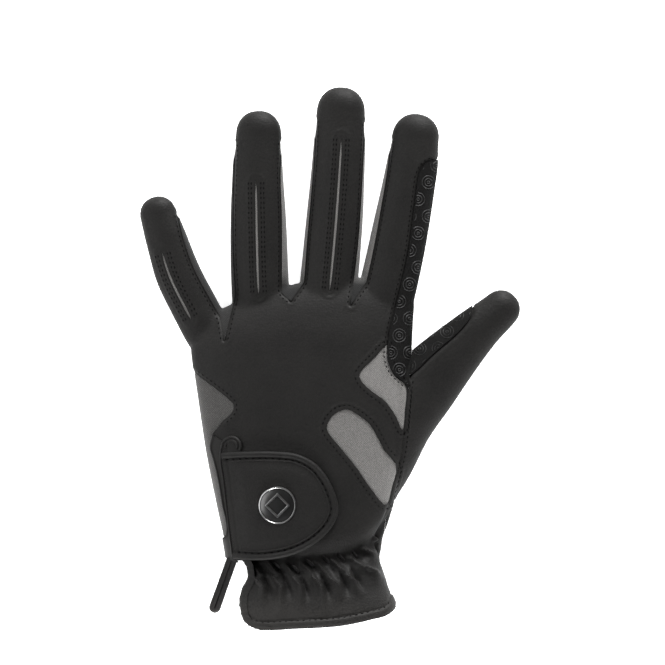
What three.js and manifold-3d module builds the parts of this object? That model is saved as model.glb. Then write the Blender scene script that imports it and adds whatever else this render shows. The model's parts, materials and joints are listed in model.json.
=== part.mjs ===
// A left riding glove in black synthetic leather, lying palm down.
// Millimetres, +Z up, fingers along +Y, thumb towards +X.
// The origin is on the flat underside of the palm, below the middle of the hand.
import * as THREE from 'three';
import { mergeVertices } from 'three/addons/utils/BufferGeometryUtils.js';
import Module from 'manifold-3d';

const wasm = await Module();
wasm.setup();

// Walls and clearances
const leather = 1.2;
const gap = 0.3;
const fabricRecess = 0.2;
const gripProud = 0.25;

// Hand and cuff
const palmLength = 117;
const palmWidth = 100;
const handHeight = 32;
const cuffLength = 24;
const gatherDepth = 1.7;
const originShare = 0.658;

// Digits: where each one starts on the hand, how far it leans, and its size
const digits = {
  little: { u: -0.922, v: 0.906, lean: 19.4, length: 64.4, width: 19.9, thickness: 15.5 },
  ring: { u: -0.365, v: 1.017, lean: 1.9, length: 86.3, width: 25, thickness: 17 },
  middle: { u: 0.218, v: 1.051, lean: -4.6, length: 93, width: 25, thickness: 18 },
  index: { u: 0.757, v: 1.051, lean: -12, length: 82.4, width: 24.4, thickness: 17.5 },
  thumb: { u: 0.69, v: 0.535, lean: -46.7, length: 86.6, width: 29.4, thickness: 20 },
};

// Slits and opening
const slitWidth = 1.3;
const insetWidth = 6.5;
const insetThickness = 0.8;
const openingWidth = 4.2;
const bindingWidth = 3.4;
const bindingProud = 0.4;

// Closure
const strapLength = 48.5;
const strapWidth = 49;
const strapThickness = 1.6;
const facingRadius = 4.4;
const facingThickness = 0.9;
const badgeRadius = 8.3;
const badgeHeight = 2;
const badgeDome = 0.7;
const badgeRimWidth = 0.8;
const badgeTilt = 3.5;
const loopLength = 26;
const loopWidth = 7.5;
const loopThickness = 2.2;
const loopEye = 1.2;
const loopTurn = 19.7;
const loopDroop = 14;

// The seam between back and palm: its height as a share of the hand's, and its slope in degrees
const seamShare = 0.27;
const seamSlope = 2.6;

// Mesh fineness
const gatherCount = 15;
const handSides = 3 * gatherCount;
const digitSides = 14;
const hollowHandSides = 24;
const hollowDigitSides = 10;
const outlineSteps = 2;
const badgeSides = 20;
const tipAngles = [35, 62, 82];
const hollowTipAngles = [45, 75];

// How full a section is: 2 is an ellipse, more is squarer.
const handFullness = 2.5;
const digitFullness = 2.2;
// How far a digit's section dips below the surface it rests on, as a share of its thickness
const digitSink = 0.055;

// The hand from hem to knuckles. at: below 0 a share of the cuff's length, above 0 of the palm's;
// left, right: edges as shares of half the palm's width; skew, bow: how far the section's right end
// and its middle lie towards the fingers, as shares of the palm's width; height, lift: top and
// bottom as shares of the hand's height; gather: share of the gathers' depth.
const handSections = [
  { at: -0.84, left: -0.6, right: 0.86, skew: 0.07, bow: -0.035, height: 1.2, lift: -0.05, gather: 0 },
  { at: -0.6, left: -0.605, right: 0.83, skew: 0.05, bow: -0.02, height: 1.16, lift: -0.05, gather: 0.25 },
  { at: -0.3, left: -0.617, right: 0.78, skew: 0.01, bow: 0, height: 1.09, lift: -0.05, gather: 0.8 },
  { at: 0, left: -0.637, right: 0.725, skew: 0, bow: 0, height: 1.05, lift: -0.05, gather: 1 },
  { at: 0.055, left: -0.646, right: 0.706, skew: 0, bow: 0, height: 1.05, lift: -0.05, gather: 0.7 },
  { at: 0.12, left: -0.67, right: 0.73, skew: 0, bow: 0, height: 1.04, lift: -0.05, gather: 0 },
  { at: 0.25, left: -0.735, right: 0.81, skew: 0, bow: 0, height: 1.02, lift: -0.055, gather: 0 },
  { at: 0.45, left: -0.83, right: 0.915, skew: 0, bow: 0, height: 0.97, lift: -0.06, gather: 0 },
  { at: 0.65, left: -0.9, right: 0.96, skew: 0.01, bow: 0.01, height: 0.91, lift: -0.06, gather: 0 },
  { at: 0.8, left: -0.945, right: 0.976, skew: 0.04, bow: 0.02, height: 0.84, lift: -0.055, gather: 0 },
  { at: 0.91, left: -0.96, right: 0.99, skew: 0.1, bow: 0.05, height: 0.74, lift: -0.04, gather: 0 },
  { at: 0.98, left: -0.93, right: 1, skew: 0.15, bow: 0.08, height: 0.6, lift: -0.02, gather: 0 },
  { at: 1.015, left: -0.9, right: 0.98, skew: 0.16, bow: 0.09, height: 0.48, lift: 0.08, gather: 0 },
  { at: 1.03, left: -0.88, right: 0.96, skew: 0.16, bow: 0.09, height: 0.37, lift: 0.18, gather: 0 },
];

// A finger from inside the hand to the start of its tip. along: share of its length; wide, thick:
// shares of its width and thickness; bend, heel: shares of the finger's two sideways shifts.
const fingerSections = [
  { along: -0.26, wide: 0.9, thick: 0.85, bend: 0, heel: 1 },
  { along: 0, wide: 1, thick: 1.12, bend: 0.5, heel: 0.45 },
  { along: 0.2, wide: 1, thick: 1.08, bend: 0.85, heel: 0 },
  { along: 0.42, wide: 0.975, thick: 1.03, bend: 1, heel: 0 },
  { along: 0.73, wide: 0.865, thick: 0.92, bend: 0.72, heel: 0 },
];
const fingerTip = { wide: 0.78, thick: 0.82, bend: 0.2, heel: 0 };

// Each finger's sideways shifts, in its middle and at its heel, as shares of its width, and its
// seams: how far across the back, as shares of half its width, at each of the seam's places.
const seamPlaces = [0.06, 0.25, 0.45, 0.65, 0.84];
const fingerShapes = {
  little: { bend: -0.02, heel: 0.2, rightSeam: [0.82, 0.78, 0.77, 0.82, 1.05] },
  ring: {
    bend: -0.07,
    heel: 0,
    leftSeam: [-0.9, -0.94, -0.96, -0.98, -1.06],
    rightSeam: [0.76, 0.83, 0.88, 0.93, 1.05],
  },
  middle: {
    bend: 0.055,
    heel: 0,
    leftSeam: [-0.88, -0.92, -0.94, -0.97, -1.06],
    rightSeam: [0.88, 0.92, 0.94, 0.97, 1.06],
  },
  index: { bend: 0.08, heel: -0.05, leftSeam: [-0.8, -0.82, -0.87, -0.94, -1.06] },
};

// The thumb widens into the ball of the hand, so it has sections of its own. shift: sideways, as a
// share of its width.
const thumbSections = [
  { along: -0.46, wide: 0.55, thick: 0.5, shift: 0.78 },
  { along: -0.25, wide: 0.86, thick: 0.98, shift: 0.56 },
  { along: -0.03, wide: 1.08, thick: 1.2, shift: 0.3 },
  { along: 0.18, wide: 1.1, thick: 1.2, shift: 0.07 },
  { along: 0.38, wide: 1, thick: 1.05, shift: 0 },
  { along: 0.55, wide: 0.85, thick: 0.95, shift: -0.037 },
  { along: 0.73, wide: 0.69, thick: 0.85, shift: -0.055 },
];
const thumbTip = { wide: 0.56, thick: 0.72, shift: -0.04 };

// Slits on the backs of fingers. from, to: shares of the finger's length; across: share of half
// its width.
const slits = [
  { name: 'slit_inset_little', finger: 'little', from: 0.12, to: 0.62, across: -0.38 },
  { name: 'slit_inset_ring', finger: 'ring', from: 0.06, to: 0.64, across: -0.06 },
  { name: 'slit_inset_middle', finger: 'middle', from: 0.03, to: 0.76, across: 0.06 },
];
// A slit's width along its length, as shares of both
const slitShape = [
  { along: 0, wide: 0.15 },
  { along: 0.12, wide: 0.8 },
  { along: 0.45, wide: 1 },
  { along: 0.9, wide: 0.7 },
  { along: 1, wide: 0.15 },
];

// Webs: the fingers on both sides, and where the fabric ends on the back of the hand
const webs = [
  { name: 'fourchette_little_ring', left: 'little', right: 'ring', u: -0.7, v: 0.885 },
  { name: 'fourchette_ring_middle', left: 'ring', right: 'middle', u: -0.13, v: 1.035 },
  { name: 'fourchette_middle_index', left: 'middle', right: 'index', u: 0.44, v: 1.02 },
];

// Outlines on the hand. u: -1 at its left edge, 1 at its right edge; v: share of the palm's length.
const upperWindow = [
  { u: 0.533, v: 0.756 },
  { u: 0.66, v: 0.815 },
  { u: 0.785, v: 0.866 },
  { u: 0.8, v: 0.82 },
  { u: 0.85, v: 0.755 },
  { u: 0.965, v: 0.712 },
  { u: 0.972, v: 0.62 },
  { u: 0.96, v: 0.545 },
  { u: 0.88, v: 0.6 },
  { u: 0.768, v: 0.656 },
  { u: 0.645, v: 0.692 },
  { u: 0.55, v: 0.73 },
];
const lowerWindow = [
  { u: 0.22, v: 0.56 },
  { u: 0.283, v: 0.602 },
  { u: 0.405, v: 0.623 },
  { u: 0.5, v: 0.608 },
  { u: 0.64, v: 0.566 },
  { u: 0.723, v: 0.517 },
  { u: 0.8, v: 0.469 },
  { u: 0.945, v: 0.41 },
  { u: 0.95, v: 0.33 },
  { u: 0.925, v: 0.262 },
  { u: 0.73, v: 0.32 },
  { u: 0.53, v: 0.405 },
  { u: 0.33, v: 0.49 },
  { u: 0.235, v: 0.535 },
];
const sidePanelEdge = [
  { u: -1.2, v: 0.83 },
  { u: -0.95, v: 0.745 },
  { u: -0.8, v: 0.696 },
  { u: -0.716, v: 0.666 },
  { u: -0.664, v: 0.64 },
  { u: -0.69, v: 0.61 },
  { u: -0.78, v: 0.58 },
];
// The wrist opening's binding: its outer edge, then its inner edge along the opening
const bindingOuter = [
  { u: -0.905, v: 0.529 },
  { u: -0.95, v: 0.48 },
  { u: -0.936, v: 0.423 },
  { u: -0.927, v: 0.362 },
  { u: -0.933, v: 0.272 },
  { u: -0.965, v: 0.15 },
  { u: -1.2, v: 0.11 },
];
const bindingInner = [
  { u: -0.8, v: 0.5 },
  { u: -0.84, v: 0.434 },
  { u: -0.845, v: 0.36 },
  { u: -0.875, v: 0.207 },
  { u: -0.893, v: 0.06 },
];
// The cuff's edge along the opening, from the strap to the hem
const cuffEdge = [
  { u: -0.76, v: 0.03 },
  { u: -0.767, v: -0.016 },
  { u: -0.868, v: -0.066 },
  { u: -0.9, v: -0.127 },
  { u: -0.858, v: -0.176 },
  { u: -0.75, v: -0.203 },
  { u: -0.61, v: -0.212 },
];
// The line where the thumb and its side wall leave the back of the hand
const thumbLine = [
  { u: 1.03, v: 1 },
  { u: 1.015, v: 0.86 },
  { u: 0.995, v: 0.7 },
  { u: 0.985, v: 0.545 },
  { u: 0.98, v: 0.43 },
  { u: 0.965, v: 0.31 },
  { u: 0.98, v: 0.19 },
  { u: 1.03, v: 0.1 },
];
// Grip patches: on the index finger and down onto the hand, and on the thumb. along: share of the
// digit's length; across: share of half its width.
const indexPatchOnFinger = [
  { along: 0.79, across: 1.2 },
  { along: 0.755, across: 0.6 },
  { along: 0.7, across: 0.35 },
  { along: 0.5, across: 0.36 },
  { along: 0.25, across: 0.45 },
];
const indexPatchOnHand = [
  { u: 0.84, v: 1 },
  { u: 0.79, v: 0.9 },
  { u: 0.788, v: 0.814 },
  { u: 0.836, v: 0.766 },
  { u: 0.97, v: 0.716 },
];
const thumbPatchEdge = [
  { along: 0.83, across: -1.3 },
  { along: 0.78, across: -0.75 },
  { along: 0.68, across: -0.5 },
  { along: 0.5, across: -0.5 },
  { along: 0.34, across: -0.52 },
  { along: 0.24, across: -0.7 },
  { along: 0.2, across: -1.1 },
];
// The strap's free edge. along: share of its length; across: share of its width.
const strapEdge = [
  { along: 0.19, across: 0.51 },
  { along: 0.427, across: 0.51 },
  { along: 0.627, across: 0.485 },
  { along: 0.79, across: 0.4 },
  { along: 0.9, across: 0.267 },
  { along: 0.975, across: 0.096 },
  { along: 0.993, across: -0.022 },
  { along: 0.947, across: -0.149 },
  { along: 0.829, across: -0.28 },
  { along: 0.682, across: -0.375 },
  { along: 0.499, across: -0.439 },
  { along: 0.28, across: -0.465 },
];
const strapStart = { u: -0.86, v: 0.25 };
const badgePlace = { along: 0.442, across: 0.029 };
const facingPlace = { u: -0.725, v: 0.484 };

const radians = THREE.MathUtils.degToRad;
const lerp = THREE.MathUtils.lerp;
const wristY = -originShare * palmLength;
const reach = 2 * (palmLength + cuffLength);

// Value of a table's column at a place between its rows.
function between(rows, key, place, column) {
  const last = rows.length - 2;
  let i = 0;
  while (i < last && rows[i + 1][key] < place) i += 1;
  const share = (place - rows[i][key]) / (rows[i + 1][key] - rows[i][key]);
  return lerp(rows[i][column], rows[i + 1][column], THREE.MathUtils.clamp(share, 0, 1));
}

// Left and right edge of the hand's plan, at a share of the palm's length.
function handEdges(v) {
  const at = v < 0 ? (v * palmLength) / cuffLength : v;
  return ['left', 'right'].map((side) => (between(handSections, 'at', at, side) * palmWidth) / 2);
}

function handPoint({ u, v }) {
  const [left, right] = handEdges(v);
  return new THREE.Vector2((left + right) / 2 + (u * (right - left)) / 2, wristY + v * palmLength);
}

// A digit's start, its direction and its sideways direction on the plan.
function digitFrame(name) {
  const angle = radians(digits[name].lean);
  return {
    root: handPoint(digits[name]),
    ahead: new THREE.Vector2(-Math.sin(angle), Math.cos(angle)),
    side: new THREE.Vector2(Math.cos(angle), Math.sin(angle)),
  };
}

// The rows of a digit up to where its tip starts, with each sideways shift as a share of its width.
function digitRows(name) {
  const { length, width } = digits[name];
  const shape = fingerShapes[name];
  const [sections, tip] = shape ? [fingerSections, fingerTip] : [thumbSections, thumbTip];
  const rows = [...sections, { along: 1 - (tip.wide * width) / 2 / length, ...tip }];
  if (!shape) return rows;
  return rows.map((row) => ({ ...row, shift: row.bend * shape.bend + row.heel * shape.heel }));
}

function digitPoint(name, { along, across }) {
  const { root, ahead, side } = digitFrame(name);
  const { length, width } = digits[name];
  const rows = digitRows(name);
  const shift = between(rows, 'along', along, 'shift') * width;
  const half = (between(rows, 'along', along, 'wide') * width) / 2;
  return root.addScaledVector(ahead, along * length).addScaledVector(side, shift + across * half);
}

// Points of one rounded section. bend moves a point ahead by its place across the section, and
// dent moves it inwards by its angle.
function sectionRing({ centre, side, ahead, bottom, top, half, sides, fullness, bend, dent }) {
  const points = [];
  for (let i = 0; i < sides; i += 1) {
    const angle = (2 * Math.PI * i) / sides;
    const across = Math.sign(Math.cos(angle)) * Math.abs(Math.cos(angle)) ** (2 / fullness);
    const up = Math.sign(Math.sin(angle)) * Math.abs(Math.sin(angle)) ** (2 / fullness);
    const inwards = dent ? dent(angle) : 0;
    const place = centre
      .clone()
      .addScaledVector(side, across * (half - inwards))
      .addScaledVector(ahead, bend ? bend(across) : 0);
    const z = (top + bottom) / 2 + up * ((top - bottom) / 2 - inwards);
    points.push(new THREE.Vector3(place.x, place.y, z));
  }
  return points;
}

// A closed mesh as a solid that can be joined and cut.
function solid(geometry) {
  const bare = geometry.clone();
  bare.deleteAttribute('normal');
  bare.deleteAttribute('uv');
  const merged = mergeVertices(bare);
  const vertProperties = merged.attributes.position.array;
  const triVerts = new Uint32Array(merged.index.array);
  const made = new wasm.Manifold(new wasm.Mesh({ numProp: 3, vertProperties, triVerts }));
  if (made.volume() > 0) return made;
  for (let i = 0; i < triVerts.length; i += 3) {
    [triVerts[i + 1], triVerts[i + 2]] = [triVerts[i + 2], triVerts[i + 1]];
  }
  return new wasm.Manifold(new wasm.Mesh({ numProp: 3, vertProperties, triVerts }));
}

// A solid through rings of points, closed at both ends.
function loft(rings) {
  const sides = rings[0].length;
  const points = rings.flat();
  const faces = [];
  for (let start = 0; start < (rings.length - 1) * sides; start += sides) {
    for (let i = 0; i < sides; i += 1) {
      const a = start + i;
      const b = start + ((i + 1) % sides);
      faces.push(a, b, b + sides, a, b + sides, a + sides);
    }
  }
  for (const [ring, start] of [[rings[0], 0], [rings.at(-1), (rings.length - 1) * sides]]) {
    const middle = points.length;
    points.push(ring.reduce((sum, p) => sum.add(p), new THREE.Vector3()).divideScalar(sides));
    for (let i = 0; i < sides; i += 1) {
      const edge = [start + i, start + ((i + 1) % sides)];
      if (start === 0) edge.reverse();
      faces.push(middle, ...edge);
    }
  }
  const geometry = new THREE.BufferGeometry().setFromPoints(points);
  geometry.setIndex(faces);
  return solid(geometry);
}

// The hand and cuff, grown outwards by a distance. Its hollow has no gathers, but is as much
// narrower there, and runs out past the hem.
function handBody(grow, isHollow = false) {
  const rings = handSections.map((row) => {
    const left = (row.left * palmWidth) / 2;
    const right = (row.right * palmWidth) / 2;
    const y = wristY + row.at * (row.at < 0 ? cuffLength : palmLength);
    const depth = row.gather * gatherDepth;
    const wall = isHollow ? grow - depth : grow;
    return sectionRing({
      centre: new THREE.Vector2((left + right) / 2, y),
      side: new THREE.Vector2(1, 0),
      ahead: new THREE.Vector2(0, 1),
      bottom: row.lift * handHeight - wall,
      top: row.height * handHeight + wall,
      half: (right - left) / 2 + wall,
      sides: isHollow ? hollowHandSides : handSides,
      fullness: handFullness,
      bend: (u) => (row.skew * u * palmWidth) / 2 + row.bow * palmWidth * (1 - u * u),
      dent: (angle) => (isHollow ? 0 : (depth * (1 - Math.cos(gatherCount * angle))) / 2),
    });
  });
  if (isHollow) rings.unshift(rings[0].map((p) => p.clone().setY(p.y - cuffLength)));
  return loft(rings);
}

// A digit with a round tip, grown outwards by a distance.
function digitBody(name, grow, isHollow = false) {
  const { root, ahead, side } = digitFrame(name);
  const { length, width, thickness } = digits[name];
  const rows = digitRows(name);
  const tip = rows.at(-1);
  const ring = (along, half, shift, bottom, top) =>
    sectionRing({
      centre: root.clone().addScaledVector(ahead, along).addScaledVector(side, shift * width),
      side,
      ahead,
      bottom,
      top,
      half,
      sides: isHollow ? hollowDigitSides : digitSides,
      fullness: digitFullness,
    });
  const bottom = -digitSink * thickness - grow;
  const rings = rows.map((row) => {
    const top = (row.thick - digitSink) * thickness + grow;
    return ring(row.along * length, (row.wide * width) / 2 + grow, row.shift, bottom, top);
  });
  const half = (tip.wide * width) / 2 + grow;
  const rise = (tip.thick * thickness) / 2 + grow;
  for (const degrees of isHollow ? hollowTipAngles : tipAngles) {
    const shrink = Math.cos(radians(degrees)) ** (2 / digitFullness);
    const along = tip.along * length + half * Math.sin(radians(degrees));
    const middle = bottom + rise;
    const [low, high] = [middle - rise * shrink, middle + rise * shrink];
    rings.push(ring(along, half * shrink, rows.at(-1).shift, low, high));
  }
  return loft(rings);
}

// A block with its underside on a plane that slopes down towards the fingertips.
function above(height, slope = 0) {
  const block = new THREE.BoxGeometry(2 * reach, 2 * reach, 2 * reach);
  return solid(block.translate(0, 0, reach).rotateX(radians(-slope)).translate(0, 0, height));
}

// The whole glove, grown outwards by a distance, flattened where it lies.
function gloveBody(grow, isHollow = false) {
  const parts = Object.keys(digits).map((name) => digitBody(name, grow, isHollow));
  const body = parts.reduce((sum, part) => sum.add(part), handBody(grow, isHollow));
  return body.intersect(above(Math.max(0, -grow)));
}

// A straight-sided solid over a plan outline, through the whole glove.
function prism(outline) {
  const options = { depth: 2 * reach, bevelEnabled: false };
  return solid(new THREE.ExtrudeGeometry(new THREE.Shape(outline), options).translate(0, 0, -reach));
}

// Points of a smooth line through a few places.
function smooth(places) {
  return new THREE.SplineCurve(places).getPoints(outlineSteps * (places.length - 1));
}

// An outline moved outwards by a distance, or inwards if it is negative.
function widen(outline, distance) {
  const turn = THREE.ShapeUtils.isClockWise(outline) ? -1 : 1;
  const count = outline.length;
  return outline.map((point, i) => {
    const before = point.clone().sub(outline[(i + count - 1) % count]).normalize();
    const after = outline[(i + 1) % count].clone().sub(point).normalize();
    const along = before.clone().add(after).normalize();
    const lengthen = Math.max(0.5, Math.sqrt((1 + before.dot(after)) / 2));
    const away = new THREE.Vector2(along.y, -along.x).multiplyScalar((turn * distance) / lengthen);
    return point.clone().add(away);
  });
}

// The biggest part of a cut solid, without the slivers that a seam can leave.
function largest(body) {
  return body.decompose().reduce((best, part) => (part.volume() > best.volume() ? part : best));
}

// Outlines of the pieces on the plan
const onHand = (rows) => rows.map(handPoint);
const onDigit = (name, rows) => rows.map((row) => digitPoint(name, row));

function seamLine(finger, side) {
  const rows = fingerShapes[finger][side].map((across, i) => ({ along: seamPlaces[i], across }));
  return onDigit(finger, rows);
}

// From a point on the hand up one finger's seam, across the gap and down the next finger's seam.
function webOutline({ left, right, u, v }) {
  const foot = handPoint({ u, v });
  return [foot, ...seamLine(left, 'rightSeam'), ...seamLine(right, 'leftSeam').reverse()];
}

function slitOutline({ finger, from, to, across }, width) {
  const edge = (sign) =>
    slitShape.map((row) => {
      const offset = (sign * row.wide * width) / digits[finger].width;
      return digitPoint(finger, { along: lerp(from, to, row.along), across: across + offset });
    });
  return [...edge(-1), ...edge(1).reverse()];
}

// Directions along and across the pull loop, and its start at the end of the binding
const loopAhead = new THREE.Vector2(-Math.sin(radians(loopTurn)), -Math.cos(radians(loopTurn)));
const loopSide = new THREE.Vector2(-loopAhead.y, loopAhead.x);
const loopStart = handPoint({ u: -0.94, v: 0.052 });
const loopEnd = (across) => loopStart.clone().addScaledVector(loopSide, across);

// Outlines close well outside the glove, where their places no longer matter.
const farLeft = -1.6;
const farRight = 1.4;
const pastCuff = -0.4;
const openingEdge = onHand(bindingInner);
const outlines = {
  upperWindow: onHand(upperWindow),
  lowerWindow: onHand(lowerWindow),
  sidePanel: onHand([...sidePanelEdge, ...bindingOuter, { u: farLeft, v: 0.11 }, { u: farLeft, v: 0.83 }]),
  binding: [
    ...onHand(bindingOuter),
    loopEnd(-bindingWidth * 2),
    loopEnd(bindingWidth),
    ...openingEdge.slice(0, -1).reverse(),
  ],
  indexPatch: [
    ...onDigit('index', indexPatchOnFinger),
    ...onHand([...indexPatchOnHand, thumbLine[2], thumbLine[1], thumbLine[0]]),
    ...onDigit('index', [{ along: 0, across: 1.6 }, { along: 0.79, across: 1.6 }]),
  ],
  thumb: [
    ...onHand([...thumbLine, { u: farRight, v: 0.1 }]),
    ...onDigit('thumb', [
      { along: 0.1, across: 2.5 },
      { along: 1.2, across: 3.5 },
      { along: 1.2, across: -3.5 },
    ]),
  ],
  thumbPatch: onDigit('thumb', [
    ...thumbPatchEdge,
    { along: 0.2, across: -1.9 },
    { along: 0.83, across: -1.9 },
  ]),
  opening: [
    ...openingEdge,
    ...openingEdge.map((p, i) => p.clone().setX(p.x + openingWidth * Math.min(1, (i + 1) / 3))).reverse(),
  ],
  openCuff: onHand([
    ...cuffEdge,
    { u: -0.61, v: pastCuff },
    { u: -2, v: pastCuff },
    { u: -2, v: 0.052 },
    { u: -0.8, v: 0.052 },
  ]),
};

function strapPoint({ along, across }) {
  const start = handPoint(strapStart);
  return start.add(new THREE.Vector2(along * strapLength, across * strapWidth));
}
const strapHeel = openingEdge
  .filter((p) => Math.abs(p.y - handPoint(strapStart).y) < strapWidth / 2)
  .map((p) => p.clone().setX(p.x + gap))
  .reverse();
const strapFreeEdge = smooth([strapHeel.at(-1), ...strapEdge.map(strapPoint), strapHeel[0]]);
const strapOutline = [...strapHeel, ...strapFreeEdge.slice(1, -1)];
const facingOutline = new THREE.Path()
  .absarc(...handPoint(facingPlace).toArray(), facingRadius, 0, 2 * Math.PI)
  .getPoints(badgeSides / 2)
  .slice(0, -1);

// Walls of the glove
const half = gap / 2;
const hollow = gloveBody(-leather, true);
const shell = gloveBody(0).subtract(hollow);
const recessedShell = gloveBody(-fabricRecess).subtract(hollow);
const gripShell = gloveBody(gripProud).subtract(hollow);
const boundShell = gloveBody(bindingProud).subtract(hollow);
const insetLayer = gloveBody(-leather - gap, true).subtract(gloveBody(-leather - gap - insetThickness, true));
const backSide = above(seamShare * handHeight + half, seamSlope);
const palmSide = above(seamShare * handHeight - half, seamSlope);
const inside = (outline, distance = half) => prism(widen(outline, -distance));
const around = (outline, distance = half) => prism(widen(outline, distance));
const without = (body, ...cutters) => cutters.reduce((rest, cutter) => rest.subtract(cutter), body);

// A layer on the back of the hand, from one height above the leather to another.
function layer(low, high) {
  return handBody(high).subtract(handBody(low)).intersect(backSide);
}

// Where the pull loop's eye starts and where both its edges reach their full width, as shares of its
// straight length, and the height of its underside, as a share of the hand's
const loopShares = { eyeStart: 0.3, outerWide: 0.8, eyeWide: 0.85 };
const loopHeight = 0.46;

function loopBody() {
  const tipRadius = loopThickness + loopEye / 2;
  const straight = loopLength - tipRadius;
  const hairpin = new THREE.Shape();
  hairpin.moveTo(-loopThickness - gap / 2, 0);
  hairpin.lineTo(loopThickness + gap / 2, 0);
  hairpin.lineTo(tipRadius, straight * loopShares.outerWide);
  hairpin.absarc(0, straight, tipRadius, 0, Math.PI);
  hairpin.lineTo(-tipRadius, straight * loopShares.outerWide);
  const eye = new THREE.Path();
  eye.moveTo(-gap / 2, straight * loopShares.eyeStart);
  eye.lineTo(gap / 2, straight * loopShares.eyeStart);
  eye.lineTo(loopEye / 2, straight * loopShares.eyeWide);
  eye.absarc(0, straight, loopEye / 2, 0, Math.PI);
  eye.lineTo(-loopEye / 2, straight * loopShares.eyeWide);
  hairpin.holes.push(eye);
  const options = { depth: loopWidth, curveSegments: 5, bevelEnabled: false };
  const band = new THREE.ExtrudeGeometry(hairpin, options);
  const droop = new THREE.Matrix4().makeShear(0, 0, 0, -Math.tan(radians(loopDroop)), 0, 0);
  const start = loopStart.clone().addScaledVector(loopAhead, gap);
  band.applyMatrix4(droop).rotateZ(Math.PI - radians(loopTurn));
  return solid(band.translate(start.x, start.y, loopHeight * handHeight));
}

const pieces = {};

for (const web of webs) {
  pieces[web.name] = largest(shell.intersect(inside(webOutline(web))));
}

pieces.thumb = largest(
  without(shell.intersect(inside(outlines.thumb)), around(outlines.thumbPatch), around(outlines.indexPatch)),
);
pieces.thumb_grip_patch = largest(
  without(
    gripShell.intersect(inside(outlines.thumb)).intersect(inside(outlines.thumbPatch)),
    around(outlines.indexPatch),
  ),
);
pieces.index_grip_patch = largest(gripShell.intersect(inside(outlines.indexPatch)).intersect(backSide));

const windowPiece = (outline) => largest(recessedShell.intersect(inside(outline)).intersect(backSide));
const rightCut = [around(outlines.indexPatch), around(outlines.thumb)];
pieces.stretch_window_upper = largest(without(windowPiece(outlines.upperWindow), ...rightCut));
pieces.stretch_window_lower = largest(without(windowPiece(outlines.lowerWindow), ...rightCut));
pieces.stretch_panel_side = largest(without(windowPiece(outlines.sidePanel), around(outlines.binding)));

for (const slit of slits) {
  const strip = inside(slitOutline(slit, insetWidth), 0);
  pieces[slit.name] = largest(insetLayer.intersect(strip).intersect(backSide));
}

const openings = [prism(outlines.opening), prism(outlines.openCuff)];
pieces.opening_binding = largest(
  without(boundShell.intersect(inside(outlines.binding)).intersect(backSide), prism(outlines.opening)),
);
const underStrap = handBody(bindingProud + gap).subtract(handBody(0)).intersect(around(strapOutline, gap));
pieces.cuff_binding = largest(
  without(
    boundShell.intersect(around(outlines.openCuff, bindingWidth)).intersect(backSide),
    ...openings,
    around(outlines.opening),
    around(outlines.binding),
    underStrap,
  ),
);
pieces.back_panel = largest(
  without(
    shell.intersect(backSide),
    ...webs.map((web) => around(webOutline(web))),
    ...slits.map((slit) => prism(slitOutline(slit, slitWidth))),
    ...rightCut,
    around(outlines.upperWindow),
    around(outlines.lowerWindow),
    around(outlines.sidePanel),
    around(outlines.binding),
    around(outlines.openCuff, bindingWidth + gap),
    ...openings,
  ),
);
pieces.palm_panel = largest(
  without(
    shell,
    palmSide,
    ...webs.map((web) => around(webOutline(web))),
    around(outlines.thumb),
    prism(outlines.openCuff),
  ),
);

pieces.wrist_strap = largest(layer(gap, gap + strapThickness).intersect(prism(strapOutline)));
pieces.slit_facing = largest(
  without(
    layer(gap, gap + facingThickness).intersect(prism(facingOutline)),
    around(strapOutline, gap),
    around(outlines.binding, gap),
  ),
);
pieces.pull_loop = loopBody();

// The badge lies on the strap: a round face in a metal rim, cut below to the strap's curve.
const strapTop = between(handSections, 'at', strapStart.v, 'height') * handHeight + gap;
const badgeBase = strapTop + strapThickness;
const badgeFoot = -handHeight / 4;
const faceRadius = badgeRadius - badgeRimWidth;
// The dome's shoulder: its place and how far it has fallen there, and how far the rim's inner edge has
const domeShoulder = { radius: 0.6, fall: 0.35 };
const rimFall = 0.5;

function badgeSolid(profile) {
  const { x, y } = strapPoint(badgePlace);
  const points = profile.map(([r, z]) => new THREE.Vector2(r, z));
  const turned = new THREE.LatheGeometry(points, badgeSides).rotateX(Math.PI / 2);
  turned.rotateY(radians(-badgeTilt)).translate(x, y, badgeBase);
  return largest(solid(turned).subtract(handBody(2 * gap + strapThickness)));
}

pieces.strap_badge = badgeSolid([
  [0, badgeFoot],
  [faceRadius - gap, badgeFoot],
  [faceRadius - gap, badgeHeight - badgeDome],
  [faceRadius * domeShoulder.radius, badgeHeight - badgeDome * domeShoulder.fall],
  [0, badgeHeight],
]);
pieces.strap_badge_rim = badgeSolid([
  [faceRadius, badgeFoot],
  [badgeRadius, badgeFoot],
  [badgeRadius, badgeHeight - badgeDome],
  [faceRadius, badgeHeight - badgeDome * rimFall],
  [faceRadius, badgeFoot],
]);

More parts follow.
